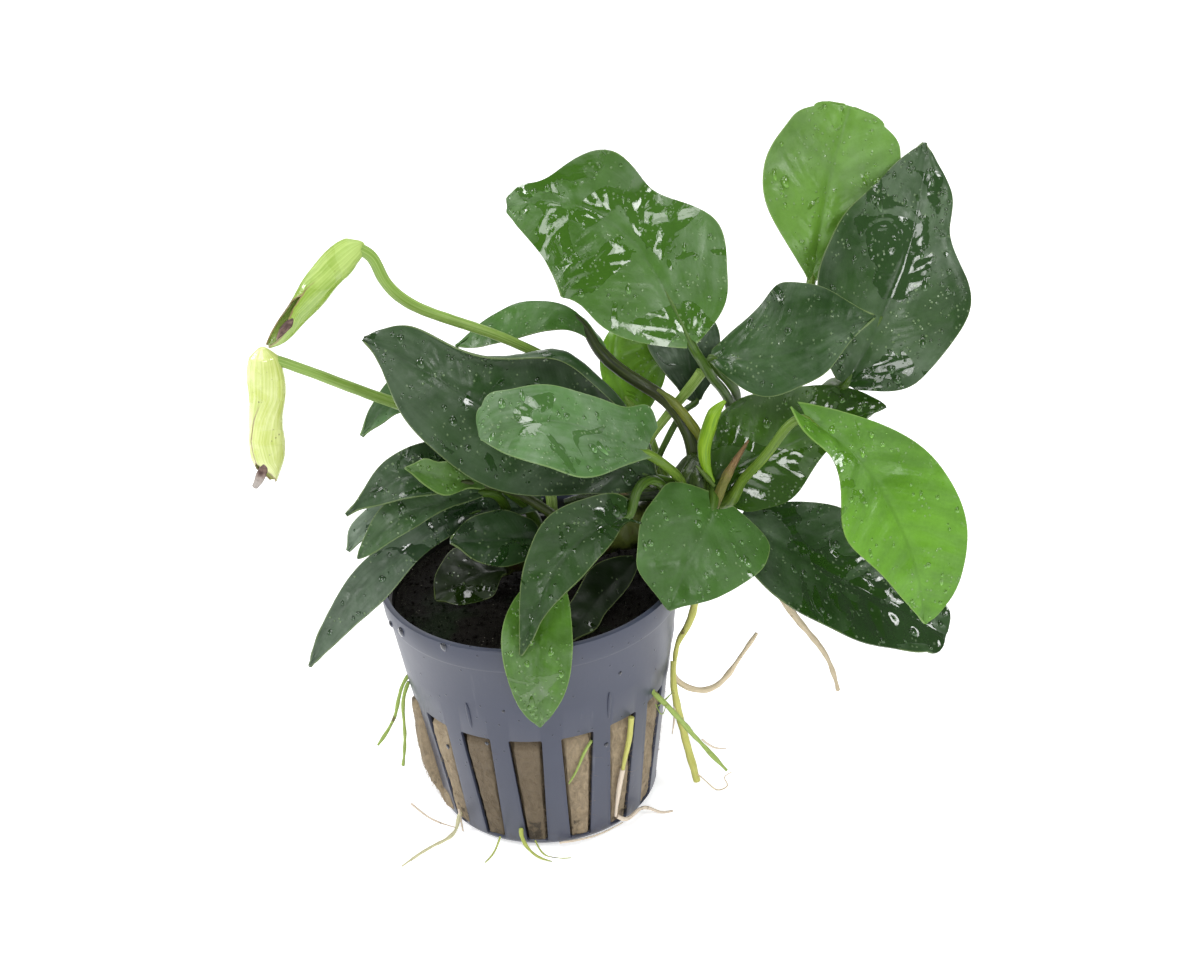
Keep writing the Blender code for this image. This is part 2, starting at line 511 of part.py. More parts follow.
def add_pot():
    collar_foot = POT_HEIGHT - COLLAR_HEIGHT
    outer = [
        (POT_FOOT_RADIUS, 0),
        (wall_radius(SLOT_BOTTOM), SLOT_BOTTOM),
        (wall_radius(SLOT_TOP), SLOT_TOP),
        (POT_WALL_RADIUS, collar_foot),
        (POT_RIM_RADIUS - 0.25, collar_foot),
        (POT_RIM_RADIUS, POT_HEIGHT - 0.4),
        (POT_RIM_RADIUS - 0.35, POT_HEIGHT),
    ]
    inner = [
        (POT_FOOT_RADIUS - 0.3, FLOOR),
        (wall_radius(SLOT_BOTTOM) - WALL, SLOT_BOTTOM),
        (wall_radius(SLOT_TOP) - WALL, SLOT_TOP),
        (POT_WALL_RADIUS - WALL, collar_foot),
        (POT_RIM_RADIUS - 1.1, POT_HEIGHT),
    ]
    bm = bmesh.new()
    outside = [add_ring(bm, around(r, z)) for r, z in outer]
    inside = [add_ring(bm, around(r, z)) for r, z in inner]
    count = len(outside[0])
    for rings in (outside, inside):
        for row, (low, high) in enumerate(zip(rings, rings[1:])):
            for i in range(count):
                if row == 1 and i % 3 < 2:
                    continue
                j = (i + 1) % count
                bm.faces.new((low[i], low[j], high[j], high[i]))
    join_rings(bm, outside[-1], inside[-1])
    bm.faces.new(outside[0])
    bm.faces.new(inside[0])
    for i in range(0, count, 3):
        for a, b in ((i, i + 1), (i + 1, i + 2)):
            bm.faces.new((outside[1][a], outside[1][b], inside[1][b], inside[1][a]))
            bm.faces.new((outside[2][a], outside[2][b], inside[2][b], inside[2][a]))
        for a in (i, i + 2):
            bm.faces.new((outside[1][a], outside[2][a], inside[2][a], inside[1][a]))
    new_object("pot", mesh_of("pot", bm), (0.105, 0.117, 0.162), 0.25)


def stack(name, rows, centres, color, roughness):
    """A solid of closed rings, with a fan of faces to a middle point at the bottom and the top."""
    bm = bmesh.new()
    rings = [add_ring(bm, row) for row in rows]
    for low, high in zip(rings, rings[1:]):
        join_rings(bm, low, high)
    for ring, centre in ((rings[0], centres[0]), (rings[-1], centres[1])):
        middle = bm.verts.new([value * MM for value in centre])
        for i in range(len(ring)):
            bm.faces.new((ring[i], ring[(i + 1) % len(ring)], middle))
    new_object(name, mesh_of(name, bm), color, roughness)


def add_rockwool():
    """The plug swells a little into each slot, and sags far out of those at the left."""
    middles = [math.degrees(a) for a in slot_angles(0)]
    rows = []
    swells = ((FLOOR + GAP, 0, 0), (3.2, 0.3, 1.6), (9, 0.7, 3.0), (20.5, 0.7, 2.4), (26.3, 0, 0),
              (ROCKWOOL_TOP, 0, 0))
    for z, swell, sag in swells:
        pushes = [0.0] * len(middles)
        for i in range(1, len(middles), 3):
            left = math.exp(-(((middles[i] - 286) / 16) ** 2))
            pushes[i] = swell + sag * left
        radius = wall_radius(z) - WALL - 0.4 if z > SLOT_BOTTOM else POT_FOOT_RADIUS - 0.7
        rows.append(around(radius, z, pushes))
    stack("rockwool", rows, ((0, 0, FLOOR + GAP), (0, 0, ROCKWOOL_TOP)), (0.33, 0.26, 0.17), 0.95)


def add_soil():
    """The soil's top is a little uneven and falls towards the wall."""
    rows = []
    levels = ((1.0, ROCKWOOL_TOP + GAP), (1.0, SOIL_TOP - 1.0), (0.8, SOIL_TOP - 0.2), (0.45, SOIL_TOP))
    for share, z in levels:
        ring = []
        for x, y, height in around((wall_radius(z) - WALL - 0.45) * share, z)[::2]:
            bump = 0.35 * math.sin(0.6 * x + 1) * math.cos(0.5 * y) if z > ROCKWOOL_TOP + 1 else 0
            ring.append((x, y, height + bump))
        rows.append(ring)
    stack("soil", rows, ((0, 0, ROCKWOOL_TOP + GAP), (0, 0, SOIL_TOP)), (0.012, 0.010, 0.008), 0.6)


def add_rhizome():
    """The creeping stem, ringed by the scars of old leaves."""
    mesh = tube_mesh("rhizome", RHIZOME_PATH, RHIZOME_RADII, 8, 12)
    new_object("rhizome", mesh, (0.05, 0.07, 0.02), 0.5)


def clear_scene():
    for old in list(bpy.data.objects):
        bpy.data.objects.remove(old, do_unlink=True)


def main():
    clear_scene()
    add_pot()
    add_rockwool()
    add_soil()
    add_rhizome()
    for name, values in LEAVES.items():
        add_leaf(name, values)
    for name, (path, radii, sides, rings, color) in TUBES.items():
        new_object(name, tube_mesh(name, path, radii, sides, rings), color, 0.45)


if __name__ == "__main__":
    main()
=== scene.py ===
"""A small potted aquarium plant, dressed on its packed model: leaves, stalks, flowers, roots,
soil, mineral wool and a slotted net pot. The tables are in millimetres. The origin is the centre
of the pot's underside, +Z is up, and the front of the plant faces -Y."""

import json
import math

import bpy
import numpy as np
from mathutils import Matrix, Vector, noise


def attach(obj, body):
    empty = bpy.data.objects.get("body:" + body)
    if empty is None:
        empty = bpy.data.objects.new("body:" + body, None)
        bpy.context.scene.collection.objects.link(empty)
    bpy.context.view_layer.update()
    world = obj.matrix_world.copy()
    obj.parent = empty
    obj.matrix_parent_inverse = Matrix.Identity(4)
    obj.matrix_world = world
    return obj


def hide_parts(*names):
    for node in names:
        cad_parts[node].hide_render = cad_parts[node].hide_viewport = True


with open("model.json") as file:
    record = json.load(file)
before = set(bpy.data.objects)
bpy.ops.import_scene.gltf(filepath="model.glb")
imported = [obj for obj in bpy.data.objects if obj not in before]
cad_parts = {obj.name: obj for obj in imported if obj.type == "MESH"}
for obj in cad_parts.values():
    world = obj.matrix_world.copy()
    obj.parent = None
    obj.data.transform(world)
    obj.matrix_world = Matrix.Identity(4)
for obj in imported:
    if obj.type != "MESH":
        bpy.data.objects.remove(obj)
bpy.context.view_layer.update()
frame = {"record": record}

bl_info = {
    "name": "Potted Anubias",
    "version": (1, 0, 0),
    "blender": (4, 5, 0),
    "location": "3D View > Sidebar > Anubias",
    "description": "Makes the leaves, flowers, roots, filling and net pot of a potted aquarium plant",
    "category": "Add Mesh",
}

MM = 0.001

# The places along a midrib, from its base to its tip, at which the half widths are given.
PLACES = (0, 0.06, 0.18, 0.34, 0.5, 0.66, 0.82, 0.94, 1)

LEAF_DEFAULTS = dict(
    lobe=0.0,
    face=((0, -0.8, 0.6), (0, -0.8, 0.6)),
    fold=(12, 12),
    curl=(0, 0),
    late=1,
    waves=(),
    stalk=(),
    sheath=(),
    stalk_radius=0.85,
)

# rib: the midrib from the base to the tip. left and right: the half widths at PLACES, as seen
# with the tip up. lobe: how far the base reaches back past the stalk. face: the way the upper
# side looks, at the base and at the tip. fold and curl: degrees by which the left and the right
# half rise at the rib, and bend on as far as the margin, as one number or as its values from the
# base to the tip. late: how far out the bend gathers. waves: (side, place, spread, lift) of each
# swelling of a margin. stalk: its path up to the base. sheath: the path of an old sheath that
# lies along the stalk.
LEAVES = {
    "leaf_top_middle": dict(
        rib=((30.4, -3, 93.4), (26, 1, 103), (17.5, 5, 113), (7.7, 6.5, 116.2), (1.3, 10, 114.3)),
        left=(1, 5.5, 11.5, 13.5, 15, 14.5, 9, 4, 1), right=(1, 6.5, 11, 13.5, 9, 10.5, 4, 3, 1.5),
        face=((-0.1, -0.85, 0.5), (-0.2, -0.75, 0.6)), fold=(8, 8),
        waves=(("R", 0.5, 0.08, -3), ("R", 0.68, 0.1, 2)), lobe=1.5,
        stalk=((34.8, 8.5, 61), (37.1, 10.5, 65.7), (37.9, 10.5, 72.8), (35, 6, 80.4),
               (32.6, 1.5, 86.8)),
    ),
    "leaf_top_right": dict(
        rib=((53.6, 15, 94.2), (55.8, 20, 102.4), (58.8, 25, 111.6), (62.4, 29, 120.9)),
        left=(0.8, 2.5, 6, 10.5, 12.5, 12.2, 10.2, 6.5, 1), right=(0.8, 2, 5, 8.5, 11, 12, 11, 7, 1),
        face=((0.1, -0.9, 0.4), (0.1, -0.8, 0.6)), fold=(14, 14),
        stalk=((39, 12.5, 57.5), (45.5, 16.5, 70.2), (50.7, 18, 82.2)),
    ),
    "leaf_right_large": dict(
        rib=((58.3, 6, 77.7), (64.6, 10, 86.9), (70.3, 15, 97.7), (73.5, 20, 106.8), (75, 24, 115)),
        left=(2, 6.5, 10.5, 14, 14.5, 13, 8.5, 4, 0.3), right=(2, 7.5, 11.5, 13.5, 13, 7, 6, 2, 0.3),
        face=((0, -0.9, 0.45), (0.1, -0.9, 0.3)), fold=(12, 12), curl=(0, (0, -40, -80)), late=4,
        stalk=((40.5, 10, 60.5), (46, 14, 64.8), (54, 14.8, 71), (57.3, 9.3, 76.4)),
    ),
    "leaf_right_middle": dict(
        rib=((34.6, 7.2, 84.2), (42.9, 2, 86.1), (53, -2, 90.7), (62, -4, 95.5)),
        left=(1.5, 4, 7.5, 11, 12.5, 11, 7.5, 2.5, 0.3), right=(0.8, 2, 4.5, 7, 6.5, 5.5, 2.5, 1, 0.3),
        face=((0, -0.6, 0.8), (0, -0.6, 0.8)), fold=(10, -20),
        stalk=((35.5, 12.5, 57), (38.6, 14.5, 65), (39.3, 12.3, 72.9), (36.6, 8, 80.4)),
    ),
    "leaf_left_large": dict(
        rib=((23.4, 0, 64.8), (10.5, -3, 73.2), (-2.7, -5, 82.2), (-14, -4, 90.4), (-24.9, -1, 96.8)),
        left=(1, 3.6, 6.4, 10.1, 12.3, 11, 7.5, 2, 0.3), right=(1, 6, 12.5, 17.3, 18, 9.8, 6.4, 4.2, 0.3),
        face=((0, -0.8, 0.6), (-0.1, -0.8, 0.6)), fold=(8, 8), curl=(0, (200, 180, -40)), late=5,
        stalk=((27.6, 3.4, 59.2), (25.9, 1.6, 62.8)),
    ),
    "leaf_front_light": dict(
        rib=((21.8, -8, 74.6), (14.2, -12, 80.9), (4.3, -15, 85.6), (-5.8, -17, 84.5)),
        left=(0.3, 1.5, 4.2, 8.3, 10.5, 10, 7.5, 3.5, 0.5), right=(5.2, 7.8, 6.7, 6, 6, 6.5, 6.5, 5, 0.2),
        face=((0, -0.6, 0.8), (0, -0.6, 0.8)), lobe=2,
        stalk=((29.6, 1.4, 59.8), (28, -0.4, 64), (25, -5.5, 70.5)),
    ),
    "leaf_heart": dict(
        rib=((33.1, -5, 60.4), (30.4, -10, 58.4), (27.3, -15, 54.1), (24, -18, 48.4)),
        left=(3, 9, 12.5, 12.5, 11, 8.5, 5, 1.5, 0.2), right=(2.2, 7.2, 9.7, 10.5, 10, 9, 7, 2.5, 0.2),
        face=((0.1, -0.8, 0.6), (0, -0.9, 0.4)), fold=(5, 5), curl=(-10, -10), lobe=3,
        stalk=((33.4, 1.4, 60.7),),
    ),
    "leaf_right_light": dict(
        rib=((49.9, -6, 77.9), (57.2, -11, 72.8), (63.6, -15, 63.2), (67.2, -17, 52.4),
             (69.2, -17, 41)),
        left=(1.5, 3, 6, 10, 11.5, 11, 8, 4, 0.2), right=(1.8, 4.2, 3.6, 7.2, 9.5, 7, 4, 1.5, 0.2),
        face=((0.2, -0.6, 0.8), (0.3, -0.95, 0.2)), fold=(10, (60, 0, 0, 5)), lobe=3,
        stalk=((36.9, 1, 59), (38.6, -1.5, 63.5), (43.6, -5, 71.6)),
    ),
    "leaf_right_low": dict(
        rib=((38.3, 1.5, 54.5), (48.7, -2, 47.7), (60.9, -5, 40.4), (74.4, -7, 31.5)),
        left=(2.5, 5, 9, 12, 12, 10.5, 8, 5.5, 1.5), right=(3, 6, 9, 10.5, 10.5, 10, 7.5, 5, 2.5),
        face=((0.3, -0.6, 0.75), (0.3, -0.6, 0.75)), fold=(6, 6),
    ),
    "leaf_right_behind": dict(
        rib=((33.6, 3.4, 61.0), (45.2, 4, 66.1), (55.3, 5.5, 70.0), (65.7, 8, 71.5)),
        left=(2.5, 7.5, 10.5, 11.5, 10, 8, 5.5, 2.5, 0.3), right=(2.5, 6, 8.2, 8.8, 6, 3.6, 2, 0.5, 0.2),
        face=((0, -0.95, 0.35), (0, -0.8, 0.6)), fold=(6, 6),
    ),
    "leaf_folded_back": dict(
        rib=((16.2, 11, 84.9), (14.1, 13, 88.5), (10.9, 14, 92), (6.2, 15, 93.6), (-0.1, 16, 92.5),
             (-6.1, 16, 89.6), (-10.5, 16, 86)),
        left=(0.5, 1, 2.5, 5, 6.5, 6.5, 5, 2.5, 0.3), right=(2, 6, 8, 9, 9, 7, 4.5, 2, 0.3),
        face=((0, -0.5, 0.85), (0, -0.3, 0.95)), fold=(-10, -75),
        stalk=((30.4, 4.8, 60.3), (30.2, 5, 69.5), (28.7, 6.5, 73), (26.3, 8.5, 75.8), (23.8, 10, 77.4)),
        stalk_radius=1.15,
        sheath=((24.9, 6.2, 79.2), (26.6, 5.8, 77.9), (28.7, 4.8, 75.6), (30.5, 3.7, 73.2), (31.9, 3, 70.6),
                (32.5, 2.4, 67.9)),
    ),
    "leaf_back_pale": dict(
        rib=((22, 18, 67), (19.5, 18, 71.5), (17.7, 19, 76.5), (18, 21, 81), (19.8, 23, 85)),
        left=(1, 5.5, 9, 10, 10, 10, 9.5, 8.5, 3.5), right=(0.8, 2, 3, 2.5, 2.5, 2.5, 2, 1, 0.3),
        face=((0, 0.8, -0.6), (0, 0.8, -0.6)),
        stalk=((25, 11, 58.5), (23.5, 14, 64)), stalk_radius=1.0,
    ),
    "leaf_back_grey": dict(
        rib=((32.2, 13.5, 72.6), (31.3, 15, 78.1), (30.6, 18, 83.7), (30.2, 20, 87.8)),
        left=(0.8, 2, 3, 4.5, 6, 7, 6.5, 5, 3.5), right=(0.8, 1.5, 3.5, 5, 6, 6.5, 6, 4, 1.5),
        stalk=((22.3, 9.5, 56.5), (24, 9.5, 62.5), (27.3, 10.5, 68.6), (30.8, 12.5, 72)),
        stalk_radius=0.6,
    ),
    "leaf_far_left": dict(
        rib=((-11.9, 12.6, 79.6), (-18.2, 11.6, 79.1), (-23.7, 10.4, 77.2), (-28.4, 8, 73.2)),
        left=(0.8, 2, 2.5, 3, 2.5, 2, 1.5, 0.5, 0.3), right=(1, 2, 3.5, 4.5, 4, 2.5, 1.5, 0.5, 0.2),
        stalk=((12, 8, 55.5), (3, 9.5, 68)),
    ),
    "leaf_left_upper": dict(
        rib=((-7.2, -5, 70.1), (-15.4, -9, 74.7), (-23.1, -12, 73.8), (-30.2, -14, 69.8)),
        left=(0.8, 2, 3.5, 4.5, 4.5, 3.5, 2, 0.5, 0.2), right=(0.8, 1.5, 4, 5, 4.5, 3.5, 1.5, 0.5, 0.2),
        stalk=((1.5, 5.2, 53.2), (-1, 1.5, 61.5)),
    ),
    "leaf_left_small": dict(
        rib=((-6.1, -8.5, 70.8), (-13.4, -13, 75.2), (-18.9, -16.5, 79.5)),
        left=(0.6, 1, 1, 2, 3, 2.5, 1.5, 0.5, 0.2), right=(0.6, 1, 2, 2.5, 3, 2.5, 2.5, 1, 0.2),
        stalk=((8.5, 0.5, 54), (2, -4.5, 64)),
    ),
    "leaf_left_lower": dict(
        rib=((-7.3, -5, 67.3), (-15.8, -9, 67.7), (-23.6, -13, 66.1), (-29, -15, 61.6)),
        left=(0.9, 1.2, 1.4, 1.8, 2.6, 2.8, 2.2, 1.2, 0.2), right=(0.6, 1.5, 2.5, 3, 3.5, 3.5, 2, 0.9, 0.2),
        stalk=((-2, 4, 53), (-3.5, 1, 60.5)),
    ),
    "leaf_left_grey": dict(
        rib=((-21.5, -4, 66.4), (-27.7, -7, 63.6), (-31.4, -9, 59.6)),
        left=(0.8, 1, 1, 1, 1, 1.5, 1, 0.5, 0.2), right=(1, 1, 1.5, 2, 2, 2, 1.5, 0.5, 0.2),
        stalk=((-8, 6.5, 51.5), (-12.5, 2.5, 63)),
    ),
    "leaf_left_long": dict(
        rib=((2.8, 3.5, 59.6), (-9.9, -1, 60.9), (-22, -10, 59), (-32, -18, 54), (-38.1, -27, 48)),
        left=(1.5, 2, 2.2, 2.6, 3, 4.6, 3.6, 1.6, 0.2), right=(1.2, 2, 3, 3, 3, 3, 1.7, 1, 0.2),
        stalk=((-6, 4, 52.5), (-8, 1.5, 57)),
    ),
    "leaf_front_left": dict(
        rib=((2.1, -1.5, 54.9), (-4.9, -6, 57.8), (-13.2, -8.5, 59.8)),
        left=(1.5, 2, 3.5, 4.5, 5, 4.5, 3, 1, 0.2), right=(1.5, 3, 4, 5, 5.5, 5, 4, 2, 0.5),
    ),
    "leaf_front_dark": dict(
        rib=((18.1, -10, 63.1), (13.4, -13.5, 63.5), (7.6, -17, 61), (2.9, -23, 57.1),
             (-1.9, -29.5, 48.9)),
        left=(2, 1, 3, 4.5, 4.5, 3, 1.5, 1, 0.2), right=(2, 4, 5.5, 7, 6, 4.5, 2.5, 1, 0.2),
        lobe=2,
        stalk=((25.7, 0.5, 58.5), (24.5, -1.5, 64), (21.5, -5, 67), (19.6, -8, 66)),
    ),
    "leaf_front_hanging": dict(
        rib=((4, -13, 57.3), (2.6, -20, 52.5), (1, -28, 48.8), (0.3, -30, 34.3)),
        left=(0.8, 1.5, 3.5, 5, 6, 6, 4.5, 2, 0.2), right=(0.8, 1.5, 4, 6, 6.5, 5.5, 4, 2, 0.2),
        stalk=((11.5, 0.8, 54.5), (8, -6, 57)),
    ),
    "leaf_soil_left": dict(
        rib=((-4.5, -0.1, 48), (-11, -1, 47), (-17.4, -3.8, 45)),
        left=(0.8, 1, 3.5, 4.5, 4.5, 4, 3, 1, 0.2), right=(0.8, 3, 4.5, 5.5, 6.5, 5.5, 4, 2, 0.2),
    ),
    "leaf_soil_right": dict(
        rib=((19.1, -1.5, 49), (12.2, -8, 46.2), (6.6, -18, 43.9)),
        left=(1, 1.5, 2.5, 3, 3, 3, 3, 1.5, 0.5), right=(1, 2, 3.5, 4.5, 4, 3.5, 3, 1, 0.2),
    ),
}

# The look of each leaf: the green of its deep parts and of its light parts, how much of it is
# under a film of water, how strongly its side veins show, how many drops stand on it, which
# stalk and underside it has, and how much grey bloom and painted sheen it wears where it is dry.
LOOKS = {
    "leaf_top_middle": ((0.038, 0.119, 0.004), (0.057, 0.142, 0.021), 0.56, 0.5, 90, "dark", 0.26),
    "leaf_top_right": ((0.087, 0.213, 0.015), (0.126, 0.277, 0.035), 0.16, 0.35, 50, "light", 0.14),
    "leaf_right_large": ((0.016, 0.052, 0.008), (0.030, 0.076, 0.016), 0.34, 0.5, 190, "dark", 0.24),
    "leaf_right_middle": ((0.016, 0.052, 0.009), (0.032, 0.081, 0.018), 0.22, 0.7, 36, "dark", 0.22),
    "leaf_left_large": ((0.014, 0.044, 0.008), (0.026, 0.064, 0.016), 0.16, 0.4, 170, "dark", 0.14),
    "leaf_front_light": ((0.048, 0.128, 0.023), (0.074, 0.175, 0.045), 0.24, 0.5, 80, "light", 0.46),
    "leaf_heart": ((0.040, 0.113, 0.013), (0.057, 0.144, 0.026), 0.05, 0.4, 60, "dark", 0.06),
    "leaf_right_light": ((0.073, 0.210, 0.008), (0.121, 0.299, 0.023), 0.16, 0.8, 70, "light", 0.05),
    "leaf_right_low": ((0.013, 0.046, 0.005), (0.024, 0.070, 0.012), 0.60, 0.3, 70, "dark", 0.18),
    "leaf_right_behind": ((0.026, 0.080, 0.003), (0.050, 0.130, 0.008), 0.60, 0.3, 50, "dark", 0.15),
    "leaf_folded_back": ((0.040, 0.120, 0.012), (0.066, 0.165, 0.030), 0.15, 0.5, 24, "deep", 0.12),
    "leaf_back_pale": ((0.095, 0.230, 0.007), (0.149, 0.338, 0.016), 0.05, 0.5, 0, "light", 0.05),
    "leaf_back_grey": ((0.018, 0.048, 0.014), (0.034, 0.076, 0.028), 0.10, 0.5, 8, "dark", 0.55),
    "leaf_far_left": ((0.043, 0.111, 0.024), (0.076, 0.170, 0.060), 0.05, 0.5, 10, "dark", 0.15),
    "leaf_left_upper": ((0.012, 0.038, 0.007), (0.025, 0.063, 0.016), 0.40, 0.6, 40, "dark", 0.12),
    "leaf_left_small": ((0.040, 0.111, 0.006), (0.068, 0.158, 0.018), 0.14, 0.6, 22, "deep", 0.15),
    "leaf_left_lower": ((0.014, 0.048, 0.008), (0.030, 0.076, 0.017), 0.22, 0.8, 24, "dark", 0.14),
    "leaf_left_grey": ((0.024, 0.062, 0.024), (0.055, 0.110, 0.055), 0.10, 0.8, 4, "dark", 0.60),
    "leaf_left_long": ((0.014, 0.038, 0.012), (0.030, 0.066, 0.026), 0.30, 0.9, 30, "dark", 0.22),
    "leaf_front_left": ((0.009, 0.034, 0.005), (0.017, 0.049, 0.010), 0.20, 0.5, 26, "dark", 0.08),
    "leaf_front_dark": ((0.012, 0.043, 0.004), (0.022, 0.065, 0.009), 0.36, 0.6, 40, "dark", 0.05),
    "leaf_front_hanging": ((0.050, 0.144, 0.006), (0.085, 0.207, 0.024), 0.34, 0.5, 90, "light", 0.18),
    "leaf_soil_left": ((0.009, 0.022, 0.002), (0.016, 0.035, 0.004), 0.22, 0.3, 16, "dark", 0.00),
    "leaf_soil_right": ((0.004, 0.011, 0.001), (0.008, 0.019, 0.004), 0.25, 0.3, 8, "dark", 0.00),
}

# The flower stalks, the young leaf and the other tubes: path, and radii along it.
FLOWER_STALKS = {
    "flower_stalk_upper": (((-24.6, 7.6, 109.6), (-22.9, 8, 108), (-21.4, 8, 104.2), (-18.6, 8, 99.8),
                            (-12.2, 9, 95.2), (-2.9, 9.3, 90.7), (5.5, 10.5, 85), (13.1, 10, 79.1),
                            (18, 8, 72.7), (21.1, 6.2, 65), (21.5, 5.5, 57.6)), (0.95, 0.8, 0.9)),
    "flower_stalk_lower": (((-42.6, 4, 92.2), (-39.8, 4, 90.9), (-30.6, 5.5, 85.3), (-21.6, 7.5, 79.6),
                            (-12.3, 8, 74.7), (-3.7, 6, 70), (2.2, 3, 66.5), (4.5, 1.5, 63.1),
                            (4.7, 1.5, 58.5), (5.1, 3, 53.8)), (0.8, 0.95, 0.9)),
    "cut_stalk": (((19, 8.6, 57), (21.8, 8.4, 65.8), (26.7, 9.8, 72.2), (30.9, 9.8, 77.3),
                   (33, 9.3, 80.4)), (0.8, 0.7, 0.9)),
}

# Each spathe is a leaf rolled round its own axis. left and right: the half widths at PLACES, as
# seen from the front with the tip down. near and far: the turn, in degrees from the right side
# towards the front, at which its outer and its inner free margin lie.
SPATHES = {
    "flower_upper": dict(
        path=((-23.9, 8, 110.3), (-28.8, 6.5, 106.8), (-33.4, 5.5, 102.5), (-37.6, 5, 98.7),
              (-41.9, 4, 94.2)),
        left=(1.5, 2.4, 3.2, 3.1, 2.8, 1.8, 1.2, 0.7, 0.3),
        right=(1.3, 1.4, 2.1, 2.1, 2.3, 2.2, 2.1, 1.3, 0.3),
        near=(100, 100, 100, 105, 114, 108, 66, 60, 75),
        far=(-282, -282, -282, -280, -262, -206, -186, -186, -196),
    ),
    "flower_lower": dict(
        path=((-43, 4, 93.9), (-43.3, 3.5, 87), (-44.3, 3, 78.4), (-44.7, 3, 68.2)),
        left=(1.6, 2.3, 3.1, 2.9, 2.9, 3.0, 3.0, 1.6, 0.4),
        right=(1.6, 2.3, 3.1, 3.3, 2.8, 3.0, 2.7, 1.5, 0.8),
        near=(95, 95, 95, 98, 126, 142, 128, 76, 40),
        far=(-285, -285, -282, -280, -268, -250, -228, -168, -130),
    ),
}
WITHERED_SPIKES = {
    "flower_upper": (((-36.5, 4.2, 99.4), (-38.6, 3.6, 97.6), (-40.2, 3.2, 95.6)), (0.5, 0.7, 0.5, 0.2)),
    "flower_lower": (((-44.6, 2.2, 76), (-45.6, 1.6, 71.4), (-47.6, 1.4, 68)), (0.5, 0.8, 0.9, 0.5)),
}
YOUNG_LEAF = (((33.8, -1.8, 64.1), (32.7, -2, 66.9), (32.4, -1.9, 69.6), (32.7, -1.5, 72.2),
               (33.5, -0.8, 74.3), (34.8, 0, 77.2), (36.5, 0.8, 78.8)),
              (0.2, 0.75, 1.1, 1.25, 1.3, 1.2, 0.3))
BROWN_SHEATH = (((33.5, -1.4, 58.7), (36.4, -1.4, 65.5), (40.3, 0, 71.1)), (0.85, 0.9, 0.8, 0.55, 0.15))
CROWN_SHEATH = (((30.1, 3.4, 55), (30.1, 2.9, 60), (30.6, 2.5, 64), (31.2, 2.3, 67.4)),
                (3.8, 4.6, 4.9, 4.8, 4.3, 3.2, 1.2))
SHEATH_TIP = (((30.7, -2.2, 68), (32.2, -2.5, 66.1), (33.7, -2.6, 63.8)), (0.15, 0.45, 0.5, 0.35))
OLD_SHEATH = (((7, 6.2, 57.6), (12.5, 5.7, 58.7), (20.7, 5, 59), (25.8, 4.5, 59.3), (30.2, 4, 59)),
              (0.6, 1.3, 1.7, 2.0, 2.2))
# Radii of the old sheath that lies along a stalk.
STALK_SHEATH_RADII = (0.25, 0.8, 0.9, 0.8, 0.3)
RHIZOME = (((-9, 4, 48.4), (4, 5, 49), (17, 5.5, 51.5), (28, 6, 54), (36, 6, 55.5)),
           (2, 3.6, 3.2, 3.7, 3.3, 3.9, 3.5, 4.2, 3.9, 4.6, 4.2, 2.6))
ROOTS = {
    "root_right_upper": (((28.9, -3, 38.4), (28.2, -3, 36.1), (25.8, -4, 32.2), (24.9, -4.8, 28)),
                         (0.65, 0.8, 0.75, 0.6, 0.4), "yellow"),
    "root_right_long": (((24.7, -5.1, 25.9), (29.5, -6, 22.7), (36.6, -5.5, 28.5), (40.2, -4.5, 33.4)),
                        (0.5, 0.55, 0.5, 0.45, 0.4), "tan"),
    "root_right_green": (((21.2, -13.5, 27.3), (27.9, -11, 15.7), (33.3, -10, 7.1)),
                         (0.5, 0.45, 0.35), "green"),
    "root_right_thick": (((24.5, -6.7, 27), (25.4, -7, 16.6), (27.8, -7.4, 3.2)),
                         (0.5, 0.7, 0.75, 0.7), "yellow"),
    "root_left": (((-24.9, -4.6, 28.2), (-27.2, -5, 21.4), (-31, -6, 15.6)), (0.35, 0.3), "green"),
    "root_left_straight": (((-24.8, -5.1, 26.7), (-25.7, -6, 18.6), (-26.8, -6, 10.6)),
                           (0.35, 0.3), "green"),
    "root_hanging": (((46.3, 4, 34.2), (48.6, 4, 30), (51.7, 4, 25.3), (54.1, 4, 20.6), (55.9, 4, 13.6)),
                     (0.8, 0.7, 0.4), "tan"),
    "root_floor_left": (((-16.7, -12.1, 3.2), (-17.5, -13.7, 1.2), (-21.3, -17.7, 0.7),
                         (-27.4, -23.4, 0.7)), (0.4, 0.34, 0.3, 0.2), "sap"),
    "root_floor_front": (((-5.3, -20.8, 4.2), (-4.7, -21.6, 2.2), (-3.1, -22.8, 0.7), (0, -25, 0.6)),
                         (0.4, 0.36, 0.3, 0.15), "lime"),
}

